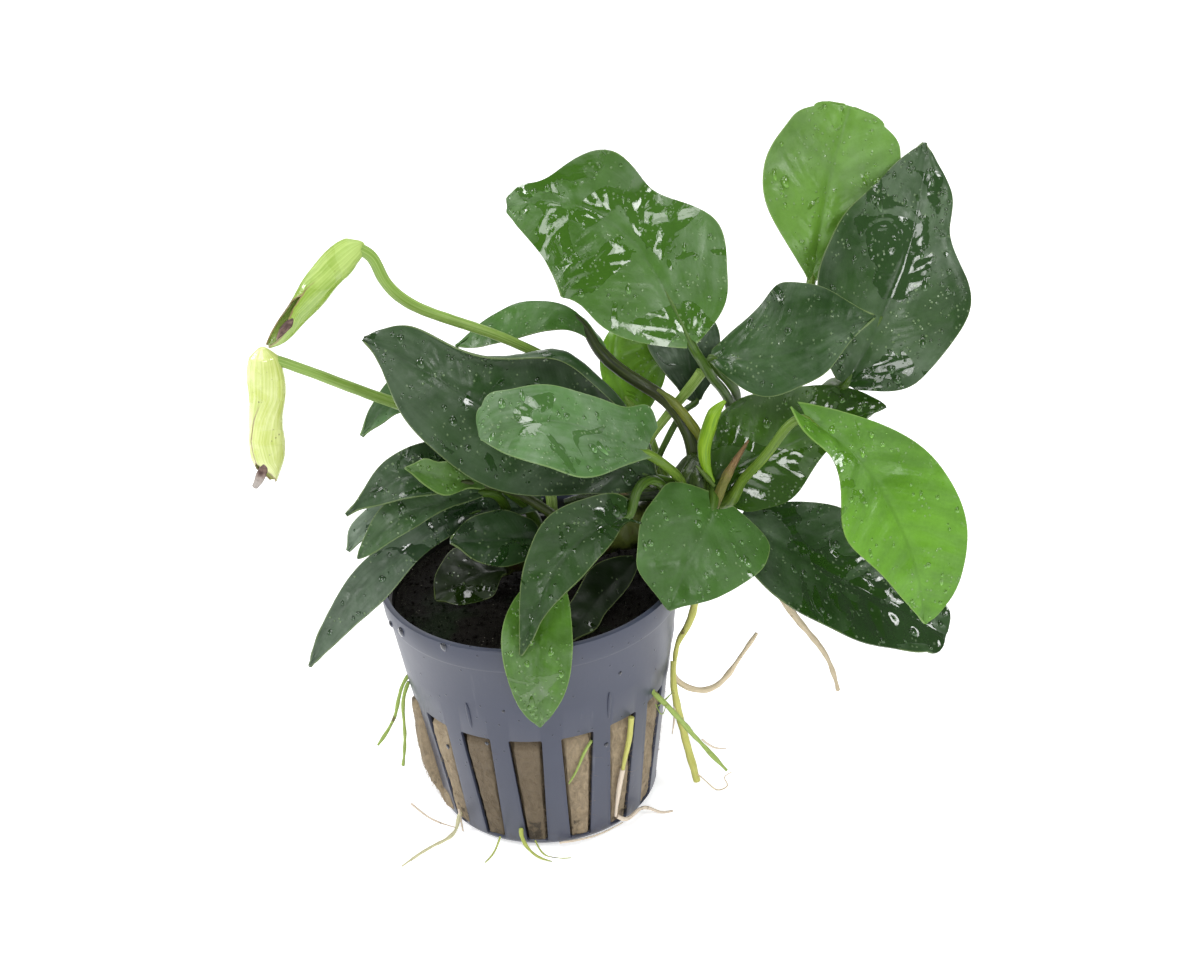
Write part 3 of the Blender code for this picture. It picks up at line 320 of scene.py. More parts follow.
# Thin roots that have no solid of their own: path, radius and colour.
FINE_ROOTS = (
    (((29, -10.4, 14.8), (31, -10.6, 13), (33.4, -10, 12)), 0.2, "pale"),
    (((28, -7.8, 5), (30.2, -7.4, 2), (32, -7, 0.4), (33.5, -6.8, 1.2), (33, -6.8, 3),
      (34.4, -6.6, 4)), 0.14, "tan"),
    (((-16.9, -12.1, 4.2), (-16.7, -12.7, 2.5), (-16.4, -14, 0.4)), 0.25, "pale"),
    (((-9.3, -18.7, 2.2), (-10.6, -21, 0.5), (-12.2, -23.6, 0.35)), 0.2, "lime"),
    (((12.4, -17.2, 3.8), (13.9, -16.7, 2.6), (16.1, -14.5, 2.6), (18.4, -12.6, 1.6), (20.4, -12.7, 0.6),
      (22.8, -12.5, 0.5)), 0.4, "pale"),
    (((16.2, -18.2, 26.4), (15.6, -18.4, 22), (14.6, -18.2, 17.6), (13.8, -18, 13.7)), 0.55, "yellow"),
    (((14, -18.1, 15), (12.9, -17.9, 9.5), (12.1, -17.5, 4.1)), 0.5, "pale"),
    (((8.8, -22.7, 25.1), (7.5, -22.6, 22.8), (5.8, -22.5, 18.8), (4.2, -22.4, 15.9)), 0.3, "green"),
    (((-25.5, -12.5, 6.5), (-22, -13.5, 3.4), (-17.5, -13.6, 1.0)), 0.2, "pale"),
    (((24.4, -7.6, 21.2), (24.2, -8.4, 18.7), (23.6, -9, 15.5)), 0.22, "pale"),
    (((21.2, -12.6, 24.5), (22.6, -11, 24.6), (24.4, -9, 25.2)), 0.12, "green"),
    (((20.8, -13, 25.2), (22, -12.2, 22.4), (22.8, -10.6, 23.4)), 0.1, "green"),
    (((-2.9, -20.8, 2.4), (-1.6, -22.2, 0.4), (3.5, -24, 0.35)), 0.16, "lime"),
    (((1.5, -21, 1.6), (8.1, -19.4, 1.4), (13.4, -16.3, 1.6)), 0.22, "pale"),
)

# Where single large drops hang on the pot: angle in degrees, height and radius.
POT_DROPS = ((212, 45.6, 0.85), (201, 44.4, 0.6), (236, 47.2, 0.7), (305, 38, 0.35), (256, 34, 0.3),
             (222, 21, 0.4), (299, 22.5, 0.45), (246, 25.6, 0.4))


class NetPotSettings(bpy.types.PropertyGroup):
    """Sizes and colour of the slotted pot."""

    height: bpy.props.FloatProperty(
        name="Height", description="From the floor to the rim", default=0.048, unit="LENGTH")
    base_radius: bpy.props.FloatProperty(
        name="Base radius", description="Where the wall's slope would meet the floor",
        default=0.0202, unit="LENGTH")
    foot_radius: bpy.props.FloatProperty(
        name="Foot radius", description="Outer radius at the floor", default=0.0187, unit="LENGTH")
    wall_radius: bpy.props.FloatProperty(
        name="Wall radius", description="Outer radius under the collar", default=0.0265, unit="LENGTH")
    rim_radius: bpy.props.FloatProperty(
        name="Rim radius", description="Outer radius of the collar", default=0.0275, unit="LENGTH")
    collar: bpy.props.FloatProperty(
        name="Collar", description="Height of the collar band", default=0.0048, unit="LENGTH")
    wall: bpy.props.FloatProperty(
        name="Wall", description="Thickness of the plastic", default=0.001, unit="LENGTH")
    slots: bpy.props.IntProperty(
        name="Slots", description="Number of openings in the wall", default=16, min=4, max=32)
    slot_bottom: bpy.props.FloatProperty(
        name="Slot bottom", description="Height of an opening's lower edge", default=0.0018, unit="LENGTH")
    slot_top: bpy.props.FloatProperty(
        name="Slot top", description="Height of an opening's upper edge", default=0.0268, unit="LENGTH")
    slot_taper: bpy.props.FloatProperty(
        name="Slot taper", description="How much narrower an opening is at its bottom",
        default=0.25, min=0, max=0.8)
    first_slot: bpy.props.FloatProperty(
        name="First slot", description="Turn of the first opening",
        default=math.radians(-6.9), subtype="ANGLE")
    plastic: bpy.props.FloatVectorProperty(
        name="Plastic", description="Colour of the pot", default=(0.039, 0.046, 0.076), subtype="COLOR")


class FillingSettings(bpy.types.PropertyGroup):
    """Heights and colours of the mineral wool and the soil."""

    wool_top: bpy.props.FloatProperty(
        name="Wool top", description="Height of the wool plug's top", default=0.036, unit="LENGTH")
    soil_top: bpy.props.FloatProperty(
        name="Soil top", description="Height of the soil", default=0.0434, unit="LENGTH")
    fibres: bpy.props.IntProperty(
        name="Fibres", description="Loose fibres on the wool", default=5000, min=0, max=12000)
    crumbs: bpy.props.IntProperty(
        name="Crumbs", description="Loose crumbs on the soil", default=2400, min=0, max=5000)
    moss: bpy.props.IntProperty(
        name="Moss", description="Fine threads of moss on the soil", default=5200, min=0, max=7000)
    wool: bpy.props.FloatVectorProperty(
        name="Wool", description="Colour of the mineral wool", default=(0.30, 0.235, 0.150), subtype="COLOR")
    soil: bpy.props.FloatVectorProperty(
        name="Soil", description="Colour of the wet soil", default=(0.010, 0.008, 0.006), subtype="COLOR")


class FoliageSettings(bpy.types.PropertyGroup):
    """Thickness, veins and wetness of the leaves."""

    rib_thickness: bpy.props.FloatProperty(
        name="Rib thickness", description="Blade thickness at the midrib", default=0.0008, unit="LENGTH")
    margin_thickness: bpy.props.FloatProperty(
        name="Margin thickness", description="Blade thickness at the margin", default=0.0003, unit="LENGTH")
    columns: bpy.props.IntProperty(
        name="Columns", description="Faces across a blade", default=44, min=8, max=120)
    vein_spacing: bpy.props.FloatProperty(
        name="Vein spacing", description="Distance between side veins", default=0.0045, unit="LENGTH")
    drops: bpy.props.FloatProperty(
        name="Drops", description="Share of the drops of the table that are made", default=1.0, min=0, max=2)
    margin: bpy.props.FloatVectorProperty(
        name="Margin", description="Colour of the thin pale margin",
        default=(0.36, 0.46, 0.16), subtype="COLOR")


class StageSettings(bpy.types.PropertyGroup):
    """Camera, floor and lights."""

    lens: bpy.props.FloatProperty(
        name="Lens", description="Focal length in millimetres", default=70.0, min=20, max=200)
    distance: bpy.props.FloatProperty(
        name="Distance", description="From the camera to its target", default=0.4142, unit="LENGTH")
    elevation: bpy.props.FloatProperty(
        name="Elevation", description="Camera's angle above the horizon", default=math.radians(29.43),
        subtype="ANGLE")
    roll: bpy.props.FloatProperty(
        name="Roll", description="Camera's turn about its own axis",
        default=math.radians(-4.1), subtype="ANGLE")
    floor: bpy.props.FloatVectorProperty(
        name="Floor", description="Colour of the floor", default=(0.85, 0.85, 0.85), subtype="COLOR")
    glow: bpy.props.FloatProperty(
        name="Glow", description="Light that the floor gives off, as a light table does",
        default=0.55, min=0)
    sky: bpy.props.FloatProperty(
        name="Sky", description="Strength of the light from all round", default=0.17, min=0, max=5)


class Wire:
    """A socket of a material. Python's operators on it add the Math nodes."""

    def __init__(self, paint, socket):
        self.paint = paint
        self.socket = socket

    def maths(self, operation, *values):
        return self.paint.add("Math", {"operation": operation}, dict(enumerate(values)))

    def __add__(self, other):
        return self.maths("ADD", self, other)

    def __radd__(self, other):
        return self.maths("ADD", other, self)

    def __sub__(self, other):
        return self.maths("SUBTRACT", self, other)

    def __rsub__(self, other):
        return self.maths("SUBTRACT", other, self)

    def __mul__(self, other):
        return self.maths("MULTIPLY", self, other)

    def __pow__(self, other):
        return self.maths("POWER", self, other)

    def __abs__(self):
        return self.maths("ABSOLUTE", self)

    def wave(self):
        """The sine of this value, from -1 to 1."""
        return self.maths("SINE", self)


class Paint:
    """The nodes of one material, round its Principled shader."""

    def __init__(self, name, **constants):
        self.material = bpy.data.materials.new(name)
        self.material.use_nodes = True
        self.tree = self.material.node_tree
        self.shader = self.tree.nodes["Principled BSDF"]
        for key, value in constants.items():
            self.shader.inputs[key.replace("_", " ")].default_value = value

    def add(self, kind, settings=None, inputs=None, output=0):
        """A node of this kind, with its settings, and then its sockets' values or links."""
        node = self.tree.nodes.new("ShaderNode" + kind)
        for key, value in (settings or {}).items():
            setattr(node, key, value)
        for key, value in (inputs or {}).items():
            self.feed(node.inputs[key], value)
        return Wire(self, node.outputs[output])

    def feed(self, socket, value):
        if isinstance(value, Wire):
            self.tree.links.new(value.socket, socket)
        elif hasattr(value, "__len__") and len(value) == 3 and socket.type == "RGBA":
            socket.default_value = (*value, 1)
        else:
            socket.default_value = value

    def place(self):
        return self.add("TexCoord", output=3)

    def grain(self):
        return self.add("UVMap", {"uv_map": "Grain"})

    def own(self, name):
        """A number that the mesh carries at its points."""
        return self.add("Attribute", {"attribute_name": name}, output=2)

    def noise(self, scale, detail=2.0, roughness=0.5, distortion=0.0, at=None):
        inputs = {"Vector": at or self.place(), "Scale": scale, "Detail": detail,
                  "Roughness": roughness, "Distortion": distortion}
        return self.add("TexNoise", None, inputs)

    def cells(self, scale, at=None):
        """The distance to the nearest of many scattered points."""
        return self.add("TexVoronoi", None, {"Vector": at or self.place(), "Scale": scale})

    def step(self, value, low, high):
        """Smoothly 0 below low and 1 above high, or the other way round if low is the larger."""
        turned = low > high
        inputs = {"Value": value, "From Min": min(low, high), "From Max": max(low, high),
                  "To Min": 1.0 if turned else 0.0, "To Max": 0.0 if turned else 1.0}
        return self.add("MapRange", {"interpolation_type": "SMOOTHSTEP"}, inputs)

    def blend(self, share, first, second):
        """The first colour where the share is 0, and the second where it is 1."""
        return self.add("Mix", {"data_type": "RGBA"}, {0: share, 6: first, 7: second}, output=2)

    def moved(self, at, scale):
        """These coordinates, stretched."""
        return self.add("Mapping", None, {"Vector": at, "Scale": scale})

    def finish(self, color, roughness=None, height=None, coat=None):
        """Feeds the shader. height is the relief in millimetres."""
        for socket, value in (("Base Color", color), ("Roughness", roughness), ("Coat Weight", coat)):
            if value is not None:
                self.feed(self.shader.inputs[socket], value)
        if height is not None:
            bump = self.add("Bump", None, {"Strength": 1.0, "Distance": MM, "Height": height})
            self.feed(self.shader.inputs["Normal"], bump)
        return self.material


def smooth_line(knots, p, u):
    """The values, and their slopes, at u of a smooth line that has the values p at the knots."""
    knots = np.array(knots, float)
    u = np.asarray(u, float)
    h = np.diff(knots)
    n = len(knots)
    rows = np.eye(n)
    right = np.zeros(p.shape)
    for i in range(1, n - 1):
        rows[i, i - 1 : i + 2] = h[i - 1], 2 * (h[i - 1] + h[i]), h[i]
        right[i] = 6 * ((p[i + 1] - p[i]) / h[i] - (p[i] - p[i - 1]) / h[i - 1])
    bend = np.linalg.solve(rows, right)
    i = np.clip(np.searchsorted(knots, u, side="right") - 1, 0, n - 2)
    a = ((knots[i + 1] - u) / h[i])[:, None]
    b = 1 - a
    hh = h[i][:, None]
    at = a * p[i] + b * p[i + 1] + ((a**3 - a) * bend[i] + (b**3 - b) * bend[i + 1]) * hh**2 / 6
    slope = (p[i + 1] - p[i]) / hh + ((3 * b**2 - 1) * bend[i + 1] - (3 * a**2 - 1) * bend[i]) * hh / 6
    return at, slope


def spline(points, places):
    """Positions and unit tangents at these places, 0 to 1, of a smooth curve through the points."""
    p = np.array(points, float)
    knots = np.concatenate([[0], np.cumsum(np.linalg.norm(np.diff(p, axis=0), axis=1))])
    at, slope = smooth_line(knots / knots[-1], p, places)
    return at, slope / np.linalg.norm(slope, axis=1)[:, None]


def along(value, s):
    """One number, or the smooth run of its values from the base to the tip."""
    if np.isscalar(value):
        return np.full(len(s), float(value))
    return np.polyval(np.polyfit(np.linspace(0, 1, len(value)), value, len(value) - 1), s)


def half_width(widths, s):
    """The half width at these places, on a smooth line through those of the table. A blunt tip is
    rounded off."""
    sizes = smooth_line(PLACES, np.array(widths, float)[:, None], s)[0][:, 0]
    last, tip = widths[-2:]
    if last < 4.5:
        return sizes
    ahead = np.clip((s - PLACES[-2]) / (1 - PLACES[-2]), 0, 1)
    return np.where(s > PLACES[-2], tip + (last - tip) * np.sqrt(1 - ahead**2), sizes)


def leaf_surface(leaf, s, t):
    """Points of the blade's middle surface. s runs from base to tip, t from the left margin, -1,
    to the right margin, 1."""
    s = np.asarray(s, float)
    t = np.asarray(t, float)
    rib, tangent = spline(leaf["rib"], s)
    faces = np.array(leaf["face"], float)
    faces /= np.linalg.norm(faces, axis=1)[:, None]
    face = faces[0] * (1 - s[:, None]) + faces[1] * s[:, None]
    normal = face - tangent * np.sum(face * tangent, axis=1)[:, None]
    normal /= np.linalg.norm(normal, axis=1)[:, None]
    side = np.cross(tangent, normal)
    steps = np.linspace(0, 1, 61)
    points = np.zeros((len(s), len(t), 3))
    for which, sign in ((0, -1), (1, 1)):
        mine = t < 0 if sign < 0 else t >= 0
        reach = np.abs(t[mine])
        fold = along(leaf["fold"][which], s)
        curl = along(leaf["curl"][which], s)
        widths = half_width(leaf["right" if which else "left"], s)
        for row in range(len(s)):
            angle = np.radians(fold[row] + curl[row] * steps ** leaf["late"])
            out = np.concatenate([[0], np.cumsum((np.cos(angle[1:]) + np.cos(angle[:-1])) / 2)]) / 60
            up = np.concatenate([[0], np.cumsum((np.sin(angle[1:]) + np.sin(angle[:-1])) / 2)]) / 60
            across = widths[row] * np.interp(reach, steps, out)
            rise = widths[row] * np.interp(reach, steps, up)
            back = leaf["lobe"] * math.exp(-((s[row] / 0.2) ** 2)) * reach**1.5
            for wave_side, place, spread, lift in leaf["waves"]:
                if (wave_side == "L") == (sign < 0):
                    rise = rise + lift * math.exp(-(((s[row] - place) / spread) ** 2)) * reach**2
            points[row, mine] = (
                rib[row]
                + side[row] * (sign * across)[:, None]
                + normal[row] * rise[:, None]
                - tangent[row] * back[:, None]
            )
    return points


def keel_path(leaf):
    """The stalk's path: up to the base, then along the underside of the midrib and into it."""
    s = np.array([0.0, 0.06, 0.16, 0.3])
    edge = leaf_surface(leaf, s, np.array([-0.05, 0.0, 0.05]))
    _, tangent = spline(leaf["rib"], s)
    normal = np.cross(edge[:, 2] - edge[:, 0], tangent)
    normal /= np.linalg.norm(normal, axis=1)[:, None]
    drop = np.array([0.5, 0.75, 0.6, 0.1])[:, None] * leaf["stalk_radius"]
    return list(leaf["stalk"]) + [tuple(point) for point in edge[:, 1] - normal * drop]


def rough_field(points, size, seed):
    """Smooth noise from -1 to 1 at these points, its lumps about size millimetres wide."""
    shift = Vector((seed * 17.3, seed * 5.1, seed * 9.7))
    flat = points.reshape(-1, 3) / size
    values = [noise.noise(Vector(point) + shift) for point in flat]
    return np.array(values).reshape(points.shape[:-1])


def deselect():
    bpy.ops.object.select_all(action="DESELECT")


def only(piece):
    """This piece alone is selected and active."""
    deselect()
    piece.select_set(True)
    bpy.context.view_layer.objects.active = piece


def edit(piece, *steps):
    """Runs steps in edit mode on all of this piece's mesh."""
    only(piece)
    bpy.ops.object.mode_set(mode="EDIT")
    bpy.ops.mesh.select_all(action="SELECT")
    for step in steps:
        step()
    bpy.ops.object.mode_set(mode="OBJECT")


def weld():
    bpy.ops.mesh.remove_doubles(threshold=0.000002)


def face_out():
    bpy.ops.mesh.normals_make_consistent(inside=False)


def sheet_of(name, points):
    """A grid whose corners are moved to points[row, column], which are in millimetres."""
    rows, columns = points.shape[0] - 1, points.shape[1] - 1
    deselect()
    bpy.ops.mesh.primitive_grid_add(x_subdivisions=columns, y_subdivisions=rows, size=1, calc_uvs=True)
    piece = bpy.context.object
    piece.name = name
    piece.data.name = name
    piece.data.uv_layers[0].name = "Grain"
    piece.data.vertices.foreach_set("co", (points.reshape(-1, 3) * MM).ravel())
    piece.data.update()
    return piece


def piece_of(name, corners, faces):
    """A new piece with these corners, in millimetres, and faces."""
    mesh = bpy.data.meshes.new(name)
    mesh.from_pydata((np.asarray(corners) * MM).tolist(), [], faces)
    piece = bpy.data.objects.new(name, mesh)
    bpy.context.scene.collection.objects.link(piece)
    return piece

def ball(subdivisions):
    """The corners and the faces of a round ball of radius 1, to be shaped and copied."""
    deselect()
    bpy.ops.mesh.primitive_ico_sphere_add(subdivisions=subdivisions, radius=1)
    model = bpy.context.object
    shape = np.array([v.co for v in model.data.vertices])
    faces = np.array([p.vertices for p in model.data.polygons])
    bpy.data.objects.remove(model)
    return shape, faces

def copies_of(name, copies, faces):
    """One piece of many copies of a shape: the corners of each copy, and the shape's own faces."""
    polygons = np.concatenate([faces + k * len(copy) for k, copy in enumerate(copies)])
    return piece_of(name, np.concatenate(copies), polygons.tolist())

def carry(piece, name, values):
    """Writes a number at each of the piece's points, for its material to read."""
    numbers = piece.data.attributes.new(name, "FLOAT", "POINT")
    numbers.data.foreach_set("value", np.asarray(values, np.float32).ravel())


def smooth(piece, angle=50):
    only(piece)
    bpy.ops.object.shade_smooth_by_angle(angle=math.radians(angle))


def apply_modifier(piece, kind, **settings):
    only(piece)
    made = piece.modifiers.new(kind.title(), kind)
    for key, value in settings.items():
        setattr(made, key, value)
    bpy.ops.object.modifier_apply(modifier=made.name)


def join(pieces, name):
    """One piece from several."""
    deselect()
    for piece in pieces:
        piece.select_set(True)
    bpy.context.view_layer.objects.active = pieces[0]
    if len(pieces) > 1:
        bpy.ops.object.join()
    made = bpy.context.object
    made.name = name
    made.data.name = name
    return made


def deliver(piece, slot, *nodes):
    """The piece rides with the plant and stands for these nodes, which are hidden. The slot is not used."""
    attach(piece, "root")
    if nodes:
        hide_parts(*nodes)


def frames(path, places):
    """Centres along a smooth path, with two directions square to it that don't twist."""
    centres, tangents = spline(path, places)
    across = np.cross(tangents[0], (0.3, 0.5, 0.8) if abs(tangents[0][2]) < 0.9 else (1, 0, 0))
    firsts = []
    for tangent in tangents:
        across = across - tangent * np.dot(across, tangent)
        across = across / np.linalg.norm(across)
        firsts.append(across)
    firsts = np.array(firsts)
    return centres, tangents, firsts, np.cross(tangents, firsts)


# No piece reaches below this height in millimetres.
CLEAR_OF_FLOOR = 0.02


def tube(name, path, radii, sides=14, step=0.7, lumps=0.0, seed=1, profile=None):
    """A closed tube along a smooth path. profile gives the radius' share at each turn and place."""
    length = sum(math.dist(a, b) for a, b in zip(path, path[1:]))
    rows = max(6, int(length / step))
    inner = np.linspace(0, 1, rows + 1)
    places = np.concatenate([[0], inner, [1]])
    centres, _, first, second = frames(path, places)
    sizes = np.interp(places, np.linspace(0, 1, len(radii)), radii)
    turns = np.linspace(0, 2 * math.pi, sides + 1)
    share = np.ones((len(places), len(turns)))
    if profile is not None:
        share = profile(places[:, None], turns[None, :])
    rays = (first[:, None] * np.cos(turns)[None, :, None] + second[:, None] * np.sin(turns)[None, :, None])
    points = centres[:, None] + rays * (sizes[:, None] * share)[:, :, None]
    if lumps:
        points = points + rays * (lumps * rough_field(points, 2.2, seed))[:, :, None]
    points[:, -1] = points[:, 0]
    points[0] = centres[0]
    points[-1] = centres[-1]
    points[:, :, 2] = np.maximum(points[:, :, 2], CLEAR_OF_FLOOR)
    made = sheet_of(name, points)
    carry(made, "run", np.repeat(places * length, len(turns)))
    edit(made, weld, face_out)
    smooth(made, 60)
    return made


def coloured(piece, *materials):
    for material in materials:
        piece.data.materials.append(material)


def leaf_paint(name, look, spacing, margin):
    """A leaf's upper side: side veins, a groove along the rib, a pale margin, a grey bloom with a
    painted sheen where it is dry, and water on it."""
    deep, light, wet, veins, _, _, grey = look
    paint = Paint(name, IOR=1.37, Coat_Roughness=0.03, Coat_IOR=1.45)
    at = paint.place()
    reach = abs(paint.own("from_rib"))
    edge = paint.own("from_edge")
    run = paint.own("run")
    drift = paint.noise(110, 2, at=at)
    sweep = run - reach * 0.7 - reach * reach * 0.012 + drift * 2.2
    bands = (sweep * (2 * math.pi / spacing)).wave()
    lines = (sweep * (2 * math.pi / (spacing * 0.22)) + drift * 9).wave()
    cloud = paint.noise(60, 4, 0.6, 0.4, at=at)
    grains = paint.noise(1500, 3, 0.65, at=at)
    tone = paint.step(cloud, 0.3, 0.7) * 0.7 + bands * (0.11 * veins) + lines * (0.02 * veins)
    tone = tone + grains * 0.5 - 0.2
    color = paint.blend(tone, [0.78 * value for value in deep], [1.14 * value for value in light])
    rib = paint.step(reach, 0.55, 0.12)
    color = paint.blend(rib * 0.3, color, [0.75 * value for value in deep])
    pale = [0.62 * a + 0.38 * b for a, b in zip(light, margin)]
    color = paint.blend(paint.step(edge, 0.20, 0.06) * 0.6, color, pale)
    film = paint.noise(95, 4, 0.55, 0.9, at=at)
    level = 0.68 - 0.34 * wet
    pool = paint.step(film, level, level + 0.015)
    color = paint.blend(pool * 0.7, color, [0.85 * value for value in deep])
    streak = paint.noise(1, 3, 0.6, at=paint.moved(paint.grain(), (14, 5, 1)))
    # Painted sheen: where the leaf is dry, its colour is lifted in patches towards a pale grey green, partly
    # a bloom and partly a painted sheen; grey, the last value of its look, sets how strongly.
    bloom_and_sheen = paint.step(paint.noise(48, 4, 0.62, 0.5, at=at) + streak * 0.3, 0.52, 0.86)
    bloom_and_sheen = bloom_and_sheen * (1 - pool * 0.85) * (0.75 + grains * 0.5)
    color = paint.blend(bloom_and_sheen * grey, color, (0.27, 0.34, 0.26))
    dots = paint.cells(950, at=at)
    dot = paint.step(dots, 0.27, 0.15) * paint.step(paint.noise(170, 1, at=at), 0.46, 0.56)
    color = paint.blend(dot * 0.35, color, (0.30, 0.42, 0.22))
    satin = paint.step(paint.noise(140, 4, 0.6, 0.6, at=at), 0.38, 0.62)
    dry = 0.20 + satin * 0.24 + paint.noise(900, 2, at=at) * 0.08
    roughness = dry * (1 - pool) * (1 - dot) + 0.045
    ripple = paint.noise(520, 2, 0.5, 0.6, at=at)
    swell = paint.noise(170, 2, 0.5, at=at)
    roll = paint.noise(70, 2, 0.5, 0.4, at=at)
    fine = grains * 0.022 + lines * (0.006 * veins) + ripple * 0.05 + swell * 0.22
    height = fine * (1 - pool) + pool * (ripple * 0.13 + swell * 0.34) + dot * 0.10 + roll * 0.9
    return paint.finish(color, roughness, height, coat=pool)


def underside_paint(name, color):
    """The paler underside, with fine lines that follow the side veins."""
    paint = Paint(name, IOR=1.45)
    at = paint.place()
    reach = abs(paint.own("from_rib"))
    run = paint.own("run")
    sweep = run - reach * 0.7 - reach * reach * 0.012 + paint.noise(120, 2, at=at) * 1.2
    lines = (sweep * (2 * math.pi / 0.8)).wave()
    tone = paint.noise(90, 3, at=at) * 0.6 + lines * 0.18 + 0.1
    paler = [min(1.0, 1.7 * value + 0.02) for value in color]
    shade = paint.blend(tone, color, paler)
    shade = paint.blend(paint.step(paint.own("from_edge"), 0.20, 0.06) * 0.4, shade, (0.26, 0.34, 0.12))
    height = lines * 0.02 + paint.noise(1800, 2, at=at) * 0.015
    return paint.finish(shade, 0.34 + paint.noise(400, 2, at=at) * 0.15, height)


def stalk_paint(name, low, high, specks=(0.05, 0.09, 0.01)):
    """A wet stalk: green with long pale streaks."""
    paint = Paint(name, IOR=1.45)
    streak = paint.noise(6, 3, 0.6, at=paint.moved(paint.grain(), (5, 0.6, 1)))
    cloud = paint.noise(110, 2)
    color = paint.blend(paint.step(streak, 0.35, 0.7), low, high)
    color = paint.blend(paint.step(cloud, 0.5, 0.75) * 0.5, color, specks)
    height = streak * 0.05 + paint.noise(900, 2) * 0.02
    return paint.finish(color, 0.30 + paint.noise(260, 2) * 0.25, height)


def root_paint(name, low, high):
    """A root: pale fibres along it, and darker dirt in places."""
    paint = Paint(name, IOR=1.4)
    fibre = paint.noise(7, 4, 0.7, at=paint.moved(paint.grain(), (6, 1, 1)))
    color = paint.blend(paint.step(fibre, 0.3, 0.7), low, high)
    dirt = paint.step(paint.noise(420, 3, 0.6), 0.62, 0.70)
    color = paint.blend(dirt * 0.8, color, (0.11, 0.07, 0.03))
    return paint.finish(color, 0.45 + fibre * 0.2, fibre * 0.08 + paint.noise(1500, 2) * 0.03)


def stations(count):
    """Places from base to tip, closer together at both ends."""
    even = np.linspace(0, 1, count + 1)
    return 0.5 * even + 0.5 * (0.5 - 0.5 * np.cos(np.pi * even))


def leaf_relief(middle, t, rib_mm, run, spacing, seed):
    """How far each point of the blade stands out of its smooth surface, in millimetres."""
    reach = np.abs(t)[None, :]
    groove = -0.22 * np.exp(-((rib_mm / 0.75) ** 2)) + 0.1 * np.exp(-(((np.abs(rib_mm) - 1.6) / 0.8) ** 2))
    sweep = run - 0.7 * np.abs(rib_mm) - 0.012 * rib_mm**2
    quilt = 0.15 * np.sin(sweep * 2 * math.pi / spacing) * np.clip(reach * 4, 0, 1) * (1 - reach**3)
    sway = 0.6 * rough_field(middle, 9, seed) + 0.2 * rough_field(middle, 4, seed + 3)
    return groove + quilt + sway * (1 - 0.6 * reach**4)


def make_blade(name, leaf, settings, seed):
    """The blade: a grid laid over the leaf's surface, given its relief and its thickness."""
    spacing = settings.vein_spacing / MM
    length = sum(math.dist(a, b) for a, b in zip(leaf["rib"], leaf["rib"][1:]))
    width = max(leaf["left"]) + max(leaf["right"])
    columns = 2 * int(np.clip(width / 0.55, 8, settings.columns) / 2)
    s = stations(int(np.clip(length / 0.6, 12, 90)))
    t = np.linspace(-1, 1, columns + 1)
    t = np.sign(t) * np.abs(t) ** 0.92
    middle = leaf_surface(leaf, s, t)
    normals = np.cross(np.gradient(middle, axis=1), np.gradient(middle, axis=0))
    normals /= np.linalg.norm(normals, axis=2)[:, :, None]
    left, right = (half_width(leaf[side], s)[:, None] for side in ("left", "right"))
    wide = np.where(t[None, :] < 0, left, right)
    rib_mm = wide * t[None, :]
    run = np.repeat((s * length)[:, None], len(t), axis=1)
    relief = leaf_relief(middle, t, rib_mm, run, spacing, seed)
    points = middle + normals * relief[:, :, None]
    blade = sheet_of(name, points)
    carry(blade, "from_rib", rib_mm)
    ends = np.minimum(run, length - run)
    sides = wide * (1 - np.abs(t[None, :]))
    carry(blade, "from_edge", np.minimum(sides, ends + 0.2))
    carry(blade, "run", run)
    thin = settings.margin_thickness / settings.rib_thickness
    shares = thin + (1 - thin) * (1 - np.abs(t)) ** 2
    group = blade.vertex_groups.new(name="thickness")
    for column, share in enumerate(shares):
        group.add([row * len(t) + column for row in range(len(s))], float(share), "REPLACE")
    apply_modifier(blade, "SOLIDIFY", thickness=settings.rib_thickness, offset=0, vertex_group="thickness",
                   material_offset=1, material_offset_rim=0, use_even_offset=False)
    blade.vertex_groups.clear()
    smooth(blade, 60)
    return blade, points, normals, np.minimum(sides, ends)


def wall_radius_at(pot, z):
    """The pot's outer radius in millimetres at this height, below the collar."""
    rise = (pot.wall_radius - pot.base_radius) / (pot.height - pot.collar)
    return (pot.base_radius + rise * z * MM) / MM


# Where drops of water may stand: the leaf's look, the points and normals of its surface, and how
# far each point is from the margin.
DROP_SITES = []

# The length of a stalk's widened foot in millimetres.
STALK_FOOT = 8

def slot_of(node):
    """The finish slot that the packed record gives to this node."""
    for part in frame["record"]["subparts"]:
        if part["node"] == node:
            return part["material_slot"]
    raise RuntimeError("no finish slot for " + node)

def foot_of(place):
    """Where a stalk that comes up at this place starts, inside the rhizome."""
    x, y, z = np.transpose(RHIZOME[0])
    near = min(max(place[0], x[0] + 1.5), x[-1] - 1.5)
    axis = np.array((near, np.interp(near, x, y), np.interp(near, x, z)))
    return tuple(axis + 0.5 * (np.array(place) - axis))

